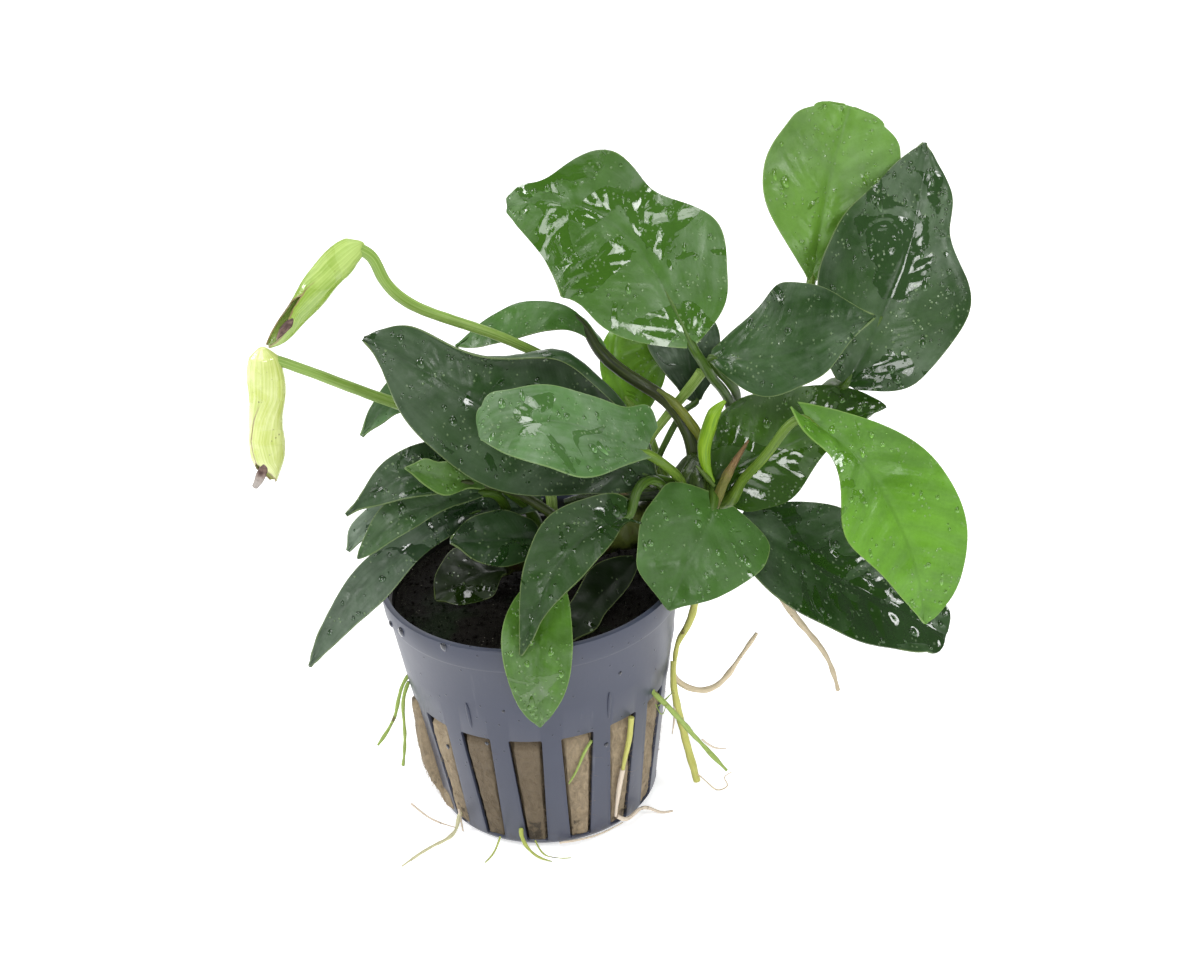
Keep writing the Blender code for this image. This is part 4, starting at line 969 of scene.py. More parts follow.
class ANUBIAS_OT_leaves(bpy.types.Operator):
    """Makes the leaf blades, each with its stalk"""

    bl_idname = "anubias.leaves"
    bl_label = "Leaves"

    def execute(self, context):
        settings = context.scene.anubias_foliage
        under = {
            "dark": underside_paint("underside dark", (0.10, 0.15, 0.07)),
            "light": underside_paint("underside light", (0.09, 0.20, 0.02)),
            "deep": underside_paint("underside deep", (0.08, 0.14, 0.04)),
        }
        stalks = {
            "dark": stalk_paint("stalk dark", (0.030, 0.076, 0.004), (0.075, 0.150, 0.010)),
            "light": stalk_paint("stalk light", (0.075, 0.150, 0.010), (0.160, 0.260, 0.030)),
            "deep": stalk_paint("stalk deep", (0.014, 0.024, 0.004), (0.050, 0.075, 0.010),
                                (0.02, 0.02, 0.006)),
        }
        old = stalk_paint("old stalk", (0.08, 0.11, 0.006), (0.19, 0.20, 0.018))
        for seed, (name, values) in enumerate(LEAVES.items()):
            leaf = LEAF_DEFAULTS | values
            look = LOOKS[name]
            kind = look[5]
            blade, points, normals, room = make_blade(name, leaf, settings, seed + 1)
            paint = leaf_paint(name, look, settings.vein_spacing / MM, settings.margin)
            coloured(blade, paint, under[kind])
            parts = [blade]
            if leaf["stalk"]:
                parts.append(self.stalk(name, leaf, seed + 1))
                coloured(parts[-1], stalks[kind])
            if leaf["sheath"]:
                parts.append(tube(name + "_sheath", leaf["sheath"], STALK_SHEATH_RADII, 14, 0.5, 0.12, seed))
                coloured(parts[-1], old)
            deliver(join(parts, name + "_blade"), slot_of(name), name)
            DROP_SITES.append((look, points, normals, room))
        return {"FINISHED"}

    def stalk(self, name, leaf, seed):
        """The stalk: wide at its foot in the rhizome, and running out along the rib."""
        path = [foot_of(leaf["stalk"][0])] + keel_path(leaf)
        length = sum(math.dist(a, b) for a, b in zip(path, path[1:]))
        keel = math.dist(path[-4], path[-1]) / length
        foot = STALK_FOOT / length
        bends = (0, foot / 2, foot, 1 - keel, 1 - keel / 3, 1)
        shares = np.interp(np.linspace(0, 1, 81), bends, (2.0, 1.5, 1.05, 1.0, 0.7, 0.3))
        return tube(name + "_stalk", path, shares * leaf["stalk_radius"], 16, 0.6, 0.05, seed)

# Not every place that is tried has room for a drop, so more are tried than the table gives.
DROP_TRIES = 1.3

class ANUBIAS_OT_drops(bpy.types.Operator):
    """Makes the drops of water that stand on the leaves and on the pot"""

    bl_idname = "anubias.drops"
    bl_label = "Drops"

    def execute(self, context):
        share = context.scene.anubias_foliage.drops
        chance = np.random.default_rng(7)
        shape, faces = ball(2)
        copies, lit_tints = [], []
        for look, points, normals, room in DROP_SITES:
            deep, light, _, _, count, _, _ = look
            green = np.array(deep) * 0.5 + np.array(light) * 0.5
            rows, columns = points.shape[:2]
            for _ in range(int(count * share * DROP_TRIES)):
                i = int(chance.uniform(0.05, 0.98) * rows)
                j = int(chance.uniform(0.04, 0.96) * columns)
                size = float(np.clip(chance.lognormal(-1.3, 0.5), 0.12, 0.8))
                if room[i, j] < 2.2 * size + 0.2:
                    continue
                drop, lens = self.drop(shape, points[i, j], normals[i, j], size, i, chance)
                copies.append(drop)
                # Painted light: each drop takes the green of the leaf seen through it, painted brighter
                # towards its lower side and darker at its upper edge.
                lit_tints.append(green * (0.7 + 1.3 * lens)[:, None] + 0.05 * lens[:, None])
        for angle, z, size in POT_DROPS:
            turn = math.radians(angle)
            up = np.array((math.cos(turn), math.sin(turn), -0.18))
            far = self.pot_radius(context.scene.anubias_pot, z) - 0.18
            at = up * (far, far, 0) + (0, 0, z)
            drop, lens = self.drop(shape, at, up / np.linalg.norm(up), size, 1, chance)
            copies.append(drop)
            # Painted light on the drops on the pot as well: brighter towards their lower side.
            lit_tints.append(np.array((0.030, 0.034, 0.050)) * (0.5 + 3 * lens)[:, None])
        drops = copies_of("drops", copies, faces)
        lit_tints = np.concatenate(lit_tints)
        shown = drops.data.color_attributes.new("seen_through", "FLOAT_COLOR", "POINT")
        shown.data.foreach_set("color", np.column_stack([lit_tints, np.ones(len(lit_tints))]).ravel())
        smooth(drops, 180)
        paint = Paint("water", IOR=1.4, Roughness=0.02, Coat_Weight=1.0, Coat_IOR=1.33, Coat_Roughness=0.02)
        coloured(drops, paint.finish(paint.add("Attribute", {"attribute_name": "seen_through"})))
        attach(drops, "root")
        return {"FINISHED"}

    def pot_radius(self, pot, z):
        """The radius of the outside of the pot, its collar included."""
        foot = (pot.height - pot.collar) / MM
        if z < foot:
            return wall_radius_at(pot, z)
        return pot.rim_radius / MM - 0.4 + 0.4 * (z - foot) / (pot.height / MM - foot)

    def drop(self, shape, at, up, size, turn, chance):
        """A drop's points, and for each how much light the drop gathers there: it is brightest at
        its lower side, where it throws the light from above."""
        down = np.array((0, 0, -1.0)) + up * up[2]
        length = np.linalg.norm(down)
        down = down / length if length > 0.05 else np.array((1.0, 0, 0)) - up * up[0]
        down /= np.linalg.norm(down)
        side = np.cross(up, down)
        long = 1 + chance.random() * 0.5 + (chance.random() < 0.1) * 1.2
        place = shape * (1, 1, 0.5)
        place[:, :2] *= 1 + 0.12 * np.sin(3 * np.arctan2(shape[:, 1], shape[:, 0]) + turn)[:, None]
        lens = np.clip(0.5 + 0.6 * shape[:, 0] - 0.3 * shape[:, 2], 0, 1) ** 1.5
        return at + up * 0.18 + place @ (np.stack([down * long, side, up]) * size), lens


# The wall's faces from one opening to the next, and in half an opening, and half an opening's
# width, in degrees, once it has its taper.
SIDES_PER_SLOT = 12
HALF_OPENING_SIDES = 4
OPENING_HALF = 7.2

def wrap(degrees):
    """The same angle, from -180 to 180."""
    return (degrees + 180) % 360 - 180

def slot_middles(pot):
    """The angle of each opening's middle, in degrees, from +X towards +Y."""
    first = math.degrees(pot.first_slot)
    return [first + k * 360 / pot.slots for k in range(pot.slots)]


def opening_half(pot, z):
    """Half the width of an opening at this height in millimetres, in degrees round the pot."""
    rise = np.clip((z * MM - pot.slot_bottom) / (pot.slot_top - pot.slot_bottom), 0, 1)
    return OPENING_HALF * (1 - pot.slot_taper * (1 - rise))

def slot_lean(pot, angle, z):
    """The angle, in radians, to which the taper of the openings moves a point of the wall."""
    pitch = 360 / pot.slots
    cut_half = HALF_OPENING_SIDES * pitch / SIDES_PER_SLOT
    middle = min(slot_middles(pot), key=lambda m: abs(wrap(angle - m)))
    away = wrap(angle - middle)
    moved = np.interp(abs(away), (0, cut_half, pitch / 2), (0, opening_half(pot, z), pitch / 2))
    return math.radians(middle + math.copysign(moved, away))

def pot_circle(radius, z, sides, turn):
    """An unfilled circle at this radius and height in millimetres, turned to meet the openings."""
    deselect()
    bpy.ops.mesh.primitive_circle_add(
        vertices=sides, radius=radius * MM, location=(0, 0, z * MM), rotation=(0, 0, turn))
    bpy.ops.object.transform_apply(location=True, rotation=True)
    return bpy.context.object


def raise_rings(profile):
    """Extrudes the selected ring through the profile's radii and heights."""
    for (radius, z), (next_radius, next_z) in zip(profile, profile[1:]):
        bpy.ops.mesh.extrude_region_move(TRANSFORM_OT_translate={"value": (0, 0, (next_z - z) * MM)})
        share = next_radius / radius
        bpy.ops.transform.resize(value=(share, share, 1), center_override=(0, 0, next_z * MM))


def choose(piece, kind, test):
    """In edit mode, selects just those of the piece's vertices or polygons that pass the test, which
    is given their places in millimetres."""
    bpy.ops.object.mode_set(mode="OBJECT")
    for every in ("vertices", "edges", "polygons"):
        group = getattr(piece.data, every)
        group.foreach_set("select", [False] * len(group))
    parts = getattr(piece.data, kind)
    place = "co" if kind == "vertices" else "center"
    parts.foreach_set("select", [bool(test(*(getattr(part, place) / MM))) for part in parts])
    bpy.ops.object.mode_set(mode="EDIT")

class ANUBIAS_OT_net_pot(bpy.types.Operator):
    """Makes the slotted pot with its collar, openings and moulding marks"""

    bl_idname = "anubias.net_pot"
    bl_label = "Net Pot"

    def execute(self, context):
        pot = context.scene.anubias_pot
        shell = self.shell(pot)
        self.cut_openings(shell, pot)
        self.taper_openings(shell, pot)
        edit(shell, face_out)
        apply_modifier(shell, "SOLIDIFY", thickness=pot.wall, offset=-1, use_even_offset=True)
        apply_modifier(shell, "BEVEL", width=0.14 * MM, segments=2, limit_method="ANGLE",
                       angle_limit=math.radians(40))
        smooth(shell, 35)
        whole = join([shell] + self.marks(pot), "net_pot")
        coloured(whole, self.plastic(pot))
        if len(whole.data.materials) > 1:
            whole.data.materials.pop(index=0)
        deliver(whole, "pot_plastic", "pot")
        return {"FINISHED"}

    def shell(self, pot):
        """The wall, raised ring by ring from the foot to the rim, with its underside filled in."""
        foot = (pot.height - pot.collar) / MM
        base, rim = pot.foot_radius / MM, pot.rim_radius / MM
        levels = (pot.slot_bottom / MM, pot.slot_top / MM, 34.0, foot)
        profile = [(base - 0.6, 0.0), (base + 0.3, 0.25), (base + 1.2, 0.95)]
        profile += [(wall_radius_at(pot, z), z) for z in levels]
        profile += [(rim - 0.6, foot + 0.2), (rim - 0.4, foot + 0.7), (rim, pot.height / MM)]
        shell = pot_circle(*profile[0], SIDES_PER_SLOT * pot.slots, pot.first_slot)
        shell.name = "net_pot"
        only(shell)
        bpy.ops.object.mode_set(mode="EDIT")
        bpy.ops.mesh.select_mode(type="EDGE")
        bpy.ops.mesh.select_all(action="SELECT")
        raise_rings(profile)
        bpy.ops.mesh.select_mode(type="VERT")
        choose(shell, "vertices", lambda x, y, z: z < 0.01)
        bpy.ops.mesh.edge_face_add()
        bpy.ops.object.mode_set(mode="OBJECT")
        return shell

    def cut_openings(self, shell, pot):
        """Deletes the faces of the openings, and rounds the corners that this leaves."""
        low, high = pot.slot_bottom / MM, pot.slot_top / MM
        face = 360 / (SIDES_PER_SLOT * pot.slots)
        half = HALF_OPENING_SIDES * face
        middles = slot_middles(pot)

        def off_slot(x, y):
            angle = math.degrees(math.atan2(y, x))
            return min(abs(wrap(angle - middle)) for middle in middles)

        def at_corner(x, y, z):
            level = min(abs(z - low), abs(z - high)) < 0.01
            return level and abs(off_slot(x, y) - half) < face / 4

        only(shell)
        bpy.ops.object.mode_set(mode="EDIT")
        bpy.ops.mesh.select_mode(type="FACE")
        choose(shell, "polygons", lambda x, y, z: low < z < high and off_slot(x, y) < half)
        bpy.ops.mesh.delete(type="FACE")
        bpy.ops.mesh.select_mode(type="VERT")
        choose(shell, "vertices", at_corner)
        bpy.ops.mesh.bevel(offset=0.4 * MM, segments=3, affect="VERTICES")
        bpy.ops.object.mode_set(mode="OBJECT")

    def taper_openings(self, shell, pot):
        """Moves the wall round, so that each opening narrows towards its bottom."""
        for corner in shell.data.vertices:
            x, y, z = corner.co / MM
            turned = slot_lean(pot, math.degrees(math.atan2(y, x)), z)
            far = math.hypot(x, y)
            corner.co = Vector((far * math.cos(turned), far * math.sin(turned), z)) * MM

    def marks(self, pot):
        """The six slim moulding marks above the openings."""
        height = 31.5
        out = wall_radius_at(pot, height) + 0.02
        marks = []
        for k in range(6):
            deselect()
            bpy.ops.mesh.primitive_uv_sphere_add(segments=16, ring_count=12, radius=1)
            mark = bpy.context.object
            mark.matrix_world = (
                Matrix.Rotation(math.radians(60 * k - 120), 4, "Z")
                @ Matrix.Translation((out * MM, 0, height * MM))
                @ Matrix.Rotation(math.radians(10), 4, "Y")
                @ Matrix.Diagonal((0.30 * MM, 0.34 * MM, 3.2 * MM, 1))
            )
            bpy.ops.object.transform_apply(location=True, rotation=True, scale=True)
            smooth(mark, 180)
            marks.append(mark)
        return marks

    def plastic(self, pot):
        """Slate plastic with a soft gloss, fine scratches, dust and dried water spots, and painted shade on
        the inside of its wall.
        """
        paint = Paint("slate plastic", IOR=1.5)
        at = paint.place()
        cloud = paint.noise(60, 4, 0.6, at=at)
        scratch = paint.noise(260, 3, 0.7, at=paint.moved(at, (1, 1, 0.06)))
        spots = paint.step(paint.cells(420, at=at), 0.12, 0.05)
        color = paint.blend(cloud, [0.8 * c for c in pot.plastic], [1.25 * c for c in pot.plastic])
        color = paint.blend(paint.step(scratch, 0.62, 0.75) * 0.25, color, (0.25, 0.27, 0.31))
        color = paint.blend(spots * 0.5, color, (0.02, 0.024, 0.034))
        x, y, z = (paint.add("SeparateXYZ", None, {0: at}, output=axis) for axis in range(3))
        far = (x * x + y * y) ** 0.5 * 1000
        slope = (pot.wall_radius - pot.base_radius) / (pot.height - pot.collar)
        outer = z * (1000 * slope) + pot.base_radius / MM
        # Painted shade: the inside of the wall, from just above the floor to just under the rim, is made
        # nearly black.
        inside = paint.step(outer - far + paint.noise(500, 3, at=at) * 0.3, 0.55, 0.8)
        inside = inside * paint.step(z * 1000, 47.6, 46.6) * paint.step(z * 1000, 1.8, 2.4)
        color = paint.blend(inside, color, (0.008, 0.008, 0.007))
        grime = paint.step(paint.noise(300, 4, 0.7, at=at) - z * 40, 0.42, 0.56)
        color = paint.blend(grime * 0.5, color, (0.020, 0.018, 0.016))
        roughness = 0.26 + cloud * 0.2 - spots * 0.15
        height = scratch * 0.02 + paint.noise(900, 2, at=at) * 0.01 + spots * 0.05
        return paint.finish(color, roughness, height)


# The wool's underside in millimetres. Where it sags out at the left: the middle and the spread, in
# degrees, of what comes out of the openings, and of what lies over the rib between them.
WOOL_BOTTOM = 1.2
SAG = (195.6, 11)
OVER_RIB = (205, 7)

def swell(angle, middle, spread):
    """1 at this middle, and less and less away from it."""
    return math.exp(-((wrap(angle - middle) / spread) ** 2))

def wool_radius(pot, angle, z):
    """The wool's radius at this angle in degrees and height: it fills each opening, and sags out of
    those at the left and over the rib between them."""
    away = min(abs(wrap(angle - middle)) for middle in slot_middles(pot))
    reach = opening_half(pot, z)
    inside = np.interp(away, (reach * 0.76, reach * 0.99), (1, 0))
    inside = inside * inside * (3 - 2 * inside)
    high = np.interp(z, (0, 1.7, 2.1, 24.5, 26.6, 60), (0, 0, 1, 1, 0, 0))
    sag = np.interp(z, (0, 1.8, 4, 7, 10, 15, 21, 25, 26.8, 60),
                    (0, 0.7, 1.1, 1.9, 2.3, 2.2, 1.5, 0.9, 0, 0))
    over = np.interp(z, (0, 1.7, 3, 6, 9), (0, 0.6, 1, 0.9, 0)) * swell(angle, *OVER_RIB)
    outside = wall_radius_at(pot, z)
    radius = outside - pot.wall / MM - 0.45 + inside * high * (1.25 + sag * swell(angle, *SAG))
    return max(radius, radius * (1 - over) + (outside + 0.7) * over)

def ribbons(name, starts, ways, ups, lengths, widths, bend, chance):
    """Many thin fibres in one mesh: each a three-sided tube of three lengths."""
    corners, faces = [], []
    for start, way, up, length, width in zip(starts, ways, ups, lengths, widths):
        side = np.cross(up, way)
        curl = chance.normal(0, bend, 2)
        for step in range(4):
            u = step / 3
            bow = side * curl[0] * u * u + up * curl[1] * u * (1 - u)
            centre = start + (way * u + bow) * length
            for k in range(3):
                turn = k * 2 * math.pi / 3
                corners.append(centre + (side * math.cos(turn) + up * math.sin(turn)) * width * (1.1 - u))
        first = len(corners) - 12
        for step in range(3):
            for k in range(3):
                a, b = first + step * 3 + k, first + step * 3 + (k + 1) % 3
                faces.append((a, b, b + 3, a + 3))
        faces.append((first + 2, first + 1, first))
        faces.append((first + 9, first + 10, first + 11))
    return piece_of(name, corners, faces)


class ANUBIAS_OT_filling(bpy.types.Operator):
    """Makes the mineral wool with its loose fibres, and the wet soil with its crumbs"""

    bl_idname = "anubias.filling"
    bl_label = "Wool and Soil"

    def execute(self, context):
        self.make_wool(context.scene.anubias_pot, context.scene.anubias_filling)
        self.make_soil(context.scene.anubias_pot, context.scene.anubias_filling)
        return {"FINISHED"}

    def make_wool(self, pot, filling):
        plug = self.wool_plug(pot, filling.wool_top / MM)
        fibres = self.wool_fibres(pot, filling)
        wool = self.wool_paint(filling)
        coloured(plug, wool)
        coloured(fibres, wool)
        deliver(join([plug, fibres], "wool_plug"), "mineral_wool", "rockwool")

    def wool_plug(self, pot, top):
        """The body of the wool, rough all round."""
        heights = [WOOL_BOTTOM] * 2 + list(np.linspace(WOOL_BOTTOM, 26.4, 84)) + [30, top, top]
        turns = np.linspace(0, 360, 481)
        points = np.zeros((len(heights), len(turns), 3))
        for i, z in enumerate(heights):
            for j, turn in enumerate(turns):
                radius, angle = wool_radius(pot, turn, z), math.radians(turn)
                points[i, j] = (radius * math.cos(angle), radius * math.sin(angle), z)
        out = points * (1, 1, 0)
        out /= np.linalg.norm(out, axis=2)[:, :, None]
        folds = rough_field(points * (1, 1, 0.6), 2.6, 2)
        tufts = rough_field(points * (1, 1, 0.5), 0.9, 3)
        points += out * (0.22 * folds + 0.14 * tufts - 0.1)[:, :, None]
        points[:, -1] = points[:, 0]
        points[0] = (0, 0, WOOL_BOTTOM)
        points[-1] = (0, 0, top)
        plug = sheet_of("wool_plug", points)
        edit(plug, weld, face_out)
        smooth(plug, 60)
        return plug

    def wool_fibres(self, pot, filling):
        """Loose fibres that stand off the wool in the openings."""
        chance = np.random.default_rng(3)
        starts, ways, ups, lengths, widths = [], [], [], [], []
        for _ in range(filling.fibres):
            middle = slot_middles(pot)[chance.integers(pot.slots)]
            turn = middle + chance.uniform(-OPENING_HALF, OPENING_HALF)
            z = chance.uniform(3, 25)
            angle = math.radians(turn)
            up = np.array((math.cos(angle), math.sin(angle), 0))
            starts.append(up * (wool_radius(pot, turn, z) - chance.uniform(0.0, 0.25)) + (0, 0, z))
            lean = chance.normal(0, 1.1)
            level = np.cross((0, 0, 1), up)
            way = level * math.cos(lean) + np.array((0, 0, 1)) * math.sin(lean)
            way = way + up * chance.uniform(-0.05, 0.22)
            ways.append(way / np.linalg.norm(way))
            ups.append(up)
            lengths.append(chance.uniform(0.8, 2.6))
            widths.append(chance.uniform(0.015, 0.035))
        return ribbons("fibres", starts, ways, ups, lengths, widths, 0.3, chance)

    def wool_paint(self, filling):
        """Tan wool with stains, painted shade from its left to its middle, and dirty at its bottom."""
        paint = Paint("mineral wool", IOR=1.4)
        at = paint.place()
        strands = paint.noise(900, 5, 0.7, 1.2, at=paint.moved(at, (1, 1, 0.5)))
        stain = paint.noise(150, 4, 0.65, 0.6, at=paint.moved(at, (1, 1, 0.55)))
        rise = paint.add("SeparateXYZ", None, {0: at}, output=2)
        across = paint.add("SeparateXYZ", None, {0: at}, output=0) * 1000 + paint.noise(90, 2, at=at) * 3
        dark, light = [0.75 * c for c in filling.wool], [1.2 * c for c in filling.wool]
        color = paint.blend(paint.step(strands, 0.3, 0.7), dark, light)
        color = paint.blend(paint.step(stain, 0.45, 0.75) * 0.6, color, (0.13, 0.094, 0.052))
        # Painted shade: the wool is made darker from about 16 mm left of the pot's middle to 8 mm right of
        # it, most between 12 mm left and 2 mm right.
        shade = paint.step(across, -16, -12) * 0.75 * paint.step(across, 8, 2)
        color = paint.blend(shade, color, (0.085, 0.062, 0.036))
        dirt = paint.step(paint.noise(420, 3, 0.6, at=at) - rise * 22, 0.44, 0.56)
        color = paint.blend(dirt * 0.75, color, (0.022, 0.016, 0.010))
        return paint.finish(color, 0.5 + strands * 0.3, strands * 0.35)

    def make_soil(self, pot, filling):
        top = filling.soil_top / MM
        edge = wall_radius_at(pot, top) - pot.wall / MM - 0.3
        bed = self.soil_bed(edge, top, filling.wool_top / MM + 0.3)
        crumbs = self.soil_crumbs(filling, edge, top)
        wet = self.soil_paint(filling)
        coloured(bed, wet)
        coloured(crumbs, wet)
        deliver(join([bed, crumbs], "soil_bed"), "soil", "soil")
        self.make_moss(filling, edge, top)

    def soil_bed(self, edge, top, floor):
        """The lumpy surface of the soil, closed down to its flat underside."""
        rings = 70
        shares = np.concatenate([np.linspace(0, 1, rings), [1, 1, 0.0]])
        turns = np.linspace(0, 2 * math.pi, 241)
        points = np.zeros((len(shares), len(turns), 3))
        points[:, :, 0] = shares[:, None] * edge * np.cos(turns)
        points[:, :, 1] = shares[:, None] * edge * np.sin(turns)
        points[:rings, :, 2] = top - 0.9 * shares[:rings, None] ** 6
        flat = points * (1, 1, 0)
        lumps = 0.5 * rough_field(flat, 3.2, 4) + 0.22 * rough_field(flat, 1.1, 5)
        points[: rings - 1, :, 2] += lumps[: rings - 1] * (1 - shares[: rings - 1, None] ** 10)
        points[rings:, :, 2] = floor
        points[rings + 1, :, :2] *= 0.99
        points[:, -1] = points[:, 0]
        points[0] = points[0, 0]
        bed = sheet_of("soil_bed", points)
        edit(bed, weld, face_out)
        smooth(bed, 60)
        return bed

    def soil_crumbs(self, filling, edge, top):
        """Loose crumbs, scattered on the soil."""
        chance = np.random.default_rng(5)
        shape, faces = ball(1)
        copies = []
        for _ in range(filling.crumbs):
            far = edge * math.sqrt(chance.random()) * 0.99
            turn = chance.uniform(0, 2 * math.pi)
            size = float(np.clip(chance.lognormal(-1.75, 0.5), 0.07, 0.5))
            shift = Vector((far, turn, size)) * 9
            warp = 1 + 0.28 * np.array([noise.noise(Vector(v * 1.3) + shift) for v in shape])
            turned = np.array(Matrix.Rotation(chance.uniform(0, 6), 3, Vector(chance.normal(size=3))))
            place = (shape * warp[:, None] * (1, 0.8, 0.7) * size) @ turned
            height = top + 0.1 + chance.uniform(-0.1, 0.5) * (far < edge * 0.9) - 0.6 * (far / edge) ** 6
            copies.append(place + (far * math.cos(turn), far * math.sin(turn), height))
        crumbs = copies_of("crumbs", copies, faces)
        smooth(crumbs, 40)
        return crumbs

    def soil_paint(self, filling):
        """Nearly black wet soil, with pale specks and a green cast in patches."""
        paint = Paint("wet soil", IOR=1.2)
        at = paint.place()
        grit = paint.noise(1500, 4, 0.7, at=at)
        dark = [0.6 * c for c in filling.soil]
        color = paint.blend(paint.step(grit, 0.5, 0.85), dark, (0.011, 0.009, 0.007))
        specks = paint.step(paint.cells(1300, at=at), 0.2, 0.1)
        specks = specks * paint.step(paint.noise(300, 1, at=at), 0.58, 0.64)
        color = paint.blend(specks * 0.8, color, (0.16, 0.15, 0.12))
        moss = paint.step(paint.noise(90, 3, at=at), 0.52, 0.66) * 0.7
        color = paint.blend(moss, color, (0.006, 0.014, 0.004))
        return paint.finish(color, 0.5 + grit * 0.4, grit * 0.2)

    def make_moss(self, filling, edge, top):
        """The fuzz of fine moss on the soil, thickest near the pot's wall."""
        chance = np.random.default_rng(11)
        starts, ways, ups, lengths, widths = [], [], [], [], []
        for _ in range(filling.moss):
            far = edge * chance.power(3)
            turn = chance.uniform(0, 2 * math.pi)
            height = top - 0.2 - 0.5 * (far / edge) ** 6
            starts.append(np.array((far * math.cos(turn), far * math.sin(turn), height)))
            way = chance.normal(size=3) * (1, 1, 0.5) + (0, 0, 0.9)
            way /= np.linalg.norm(way)
            side = np.cross(way, chance.normal(size=3))
            ways.append(way)
            ups.append(side / np.linalg.norm(side))
            lengths.append(chance.uniform(0.3, 1.1))
            widths.append(chance.uniform(0.010, 0.022))
        fuzz = ribbons("soil_moss", starts, ways, ups, lengths, widths, 0.4, chance)
        paint = Paint("fine moss", IOR=1.35)
        tone = paint.step(paint.noise(700, 3, 0.6), 0.4, 0.7)
        color = paint.blend(tone, (0.020, 0.024, 0.012), (0.085, 0.095, 0.06))
        coloured(fuzz, paint.finish(color, 0.5))
        deliver(fuzz, "soil")


class ANUBIAS_OT_rhizome(bpy.types.Operator):
    """Makes the creeping stem, ringed by the scars of old leaves"""

    bl_idname = "anubias.rhizome"
    bl_label = "Rhizome"

    def execute(self, context):
        path, radii = RHIZOME

        def scars(places, turns):
            ring = np.abs(np.sin(places * 52 + 0.5 * np.sin(turns * 2)))
            return 0.93 + 0.09 * ring**0.5

        stem = tube("rhizome_stem", path, radii, 48, 0.3, 0.35, 6, scars)
        paint = Paint("rhizome skin", IOR=1.45)
        at = paint.place()
        patch = paint.noise(160, 4, 0.6, 0.4, at=at)
        color = paint.blend(paint.step(patch, 0.4, 0.6), (0.022, 0.030, 0.008), (0.11, 0.14, 0.025))
        blotch = paint.step(paint.noise(230, 3, at=at), 0.56, 0.66)
        color = paint.blend(blotch * 0.8, color, (0.075, 0.035, 0.014))
        height = patch * 0.3 + paint.noise(1200, 3, at=at) * 0.1
        coloured(stem, paint.finish(color, 0.2 + patch * 0.35, height))
        deliver(stem, "rhizome", "rhizome")
        return {"FINISHED"}


class ANUBIAS_OT_young_growth(bpy.types.Operator):
    """Makes the rolled young leaf, the old sheaths round its foot and the dry sheath beside it"""

    bl_idname = "anubias.young_growth"
    bl_label = "Young Growth"

    def execute(self, context):
        young = tube("young_leaf_roll", *YOUNG_LEAF, 28, 0.35, 0.0, 1, self.rolled_up)
        green = stalk_paint("young green", (0.12, 0.25, 0.003), (0.23, 0.39, 0.008), (0.10, 0.24, 0.004))
        coloured(young, green)
        dark = self.crown_paint()
        crown = tube("crown_sheath", *CROWN_SHEATH, 48, 0.3, 0.3, 9, self.wrapped)
        coloured(crown, dark)
        tip = tube("sheath_tip", *SHEATH_TIP, 16, 0.3, 0.05, 2)
        coloured(tip, stalk_paint("sheath green", (0.03, 0.07, 0.004), (0.10, 0.16, 0.012)))
        old = tube("old_sheath", *OLD_SHEATH, 28, 0.3, 0.25, 5, self.wrapped)
        coloured(old, dark)
        deliver(join([young, crown, tip, old], "young_leaf_roll"), "leaf_bright", "young_leaf")
        sheath = tube("dry_sheath", *BROWN_SHEATH, 28, 0.3, 0.12, 4, self.crumpled)
        coloured(sheath, self.dry_paint())
        deliver(sheath, "dry_sheath", "brown_sheath")
        return {"FINISHED"}

    def rolled_up(self, places, turns):
        """A spindle with the free margin of the leaf winding up it."""
        margin = np.exp(-(((turns - 3.6 - places) / 0.25) ** 2))
        return 1 + 0.16 * np.cos(turns - places * 2.5) - 0.10 * margin

    def wrapped(self, places, turns):
        """Flat sheaths laid round one another."""
        return (0.62 + 0.38 * np.abs(np.cos(turns))) * (1 + 0.10 * np.sin(turns * 5 + places * 4))

    def crumpled(self, places, turns):
        """Long folds that turn a little along a dry sheath."""
        return 0.85 + 0.2 * np.abs(np.sin(turns * 2.5 + places * 3)) + 0.04 * np.sin(places * 17)

    def dry_paint(self):
        """Brown dry tissue, still olive at its foot."""
        paint = Paint("dry sheath")
        streak = paint.noise(9, 4, 0.7, at=paint.moved(paint.grain(), (5, 0.8, 1)))
        color = paint.blend(paint.step(streak, 0.3, 0.7), (0.13, 0.065, 0.020), (0.33, 0.20, 0.08))
        color = paint.blend(paint.step(paint.own("run"), 10.5, 5.5) * 0.85, color, (0.15, 0.17, 0.025))
        return paint.finish(color, 0.4, streak * 0.2)

    def crown_paint(self):
        """The dark wet sheaths at the crown, with tan dead tissue in places."""
        paint = Paint("crown sheath", IOR=1.45)
        at = paint.place()
        streak = paint.noise(8, 3, 0.6, at=paint.moved(paint.grain(), (5, 0.7, 1)))
        color = paint.blend(paint.step(streak, 0.35, 0.7), (0.012, 0.026, 0.004), (0.040, 0.070, 0.010))
        dead = paint.step(paint.noise(190, 3, at=at), 0.58, 0.68)
        color = paint.blend(dead * 0.8, color, (0.20, 0.13, 0.05))
        height = streak * 0.12 + paint.noise(600, 2, at=at) * 0.1
        return paint.finish(color, 0.14 + paint.noise(300, 2, at=at) * 0.3, height)

# The way the plant's front looks, up towards a viewer.
FRONT = (0, -0.87, 0.49)


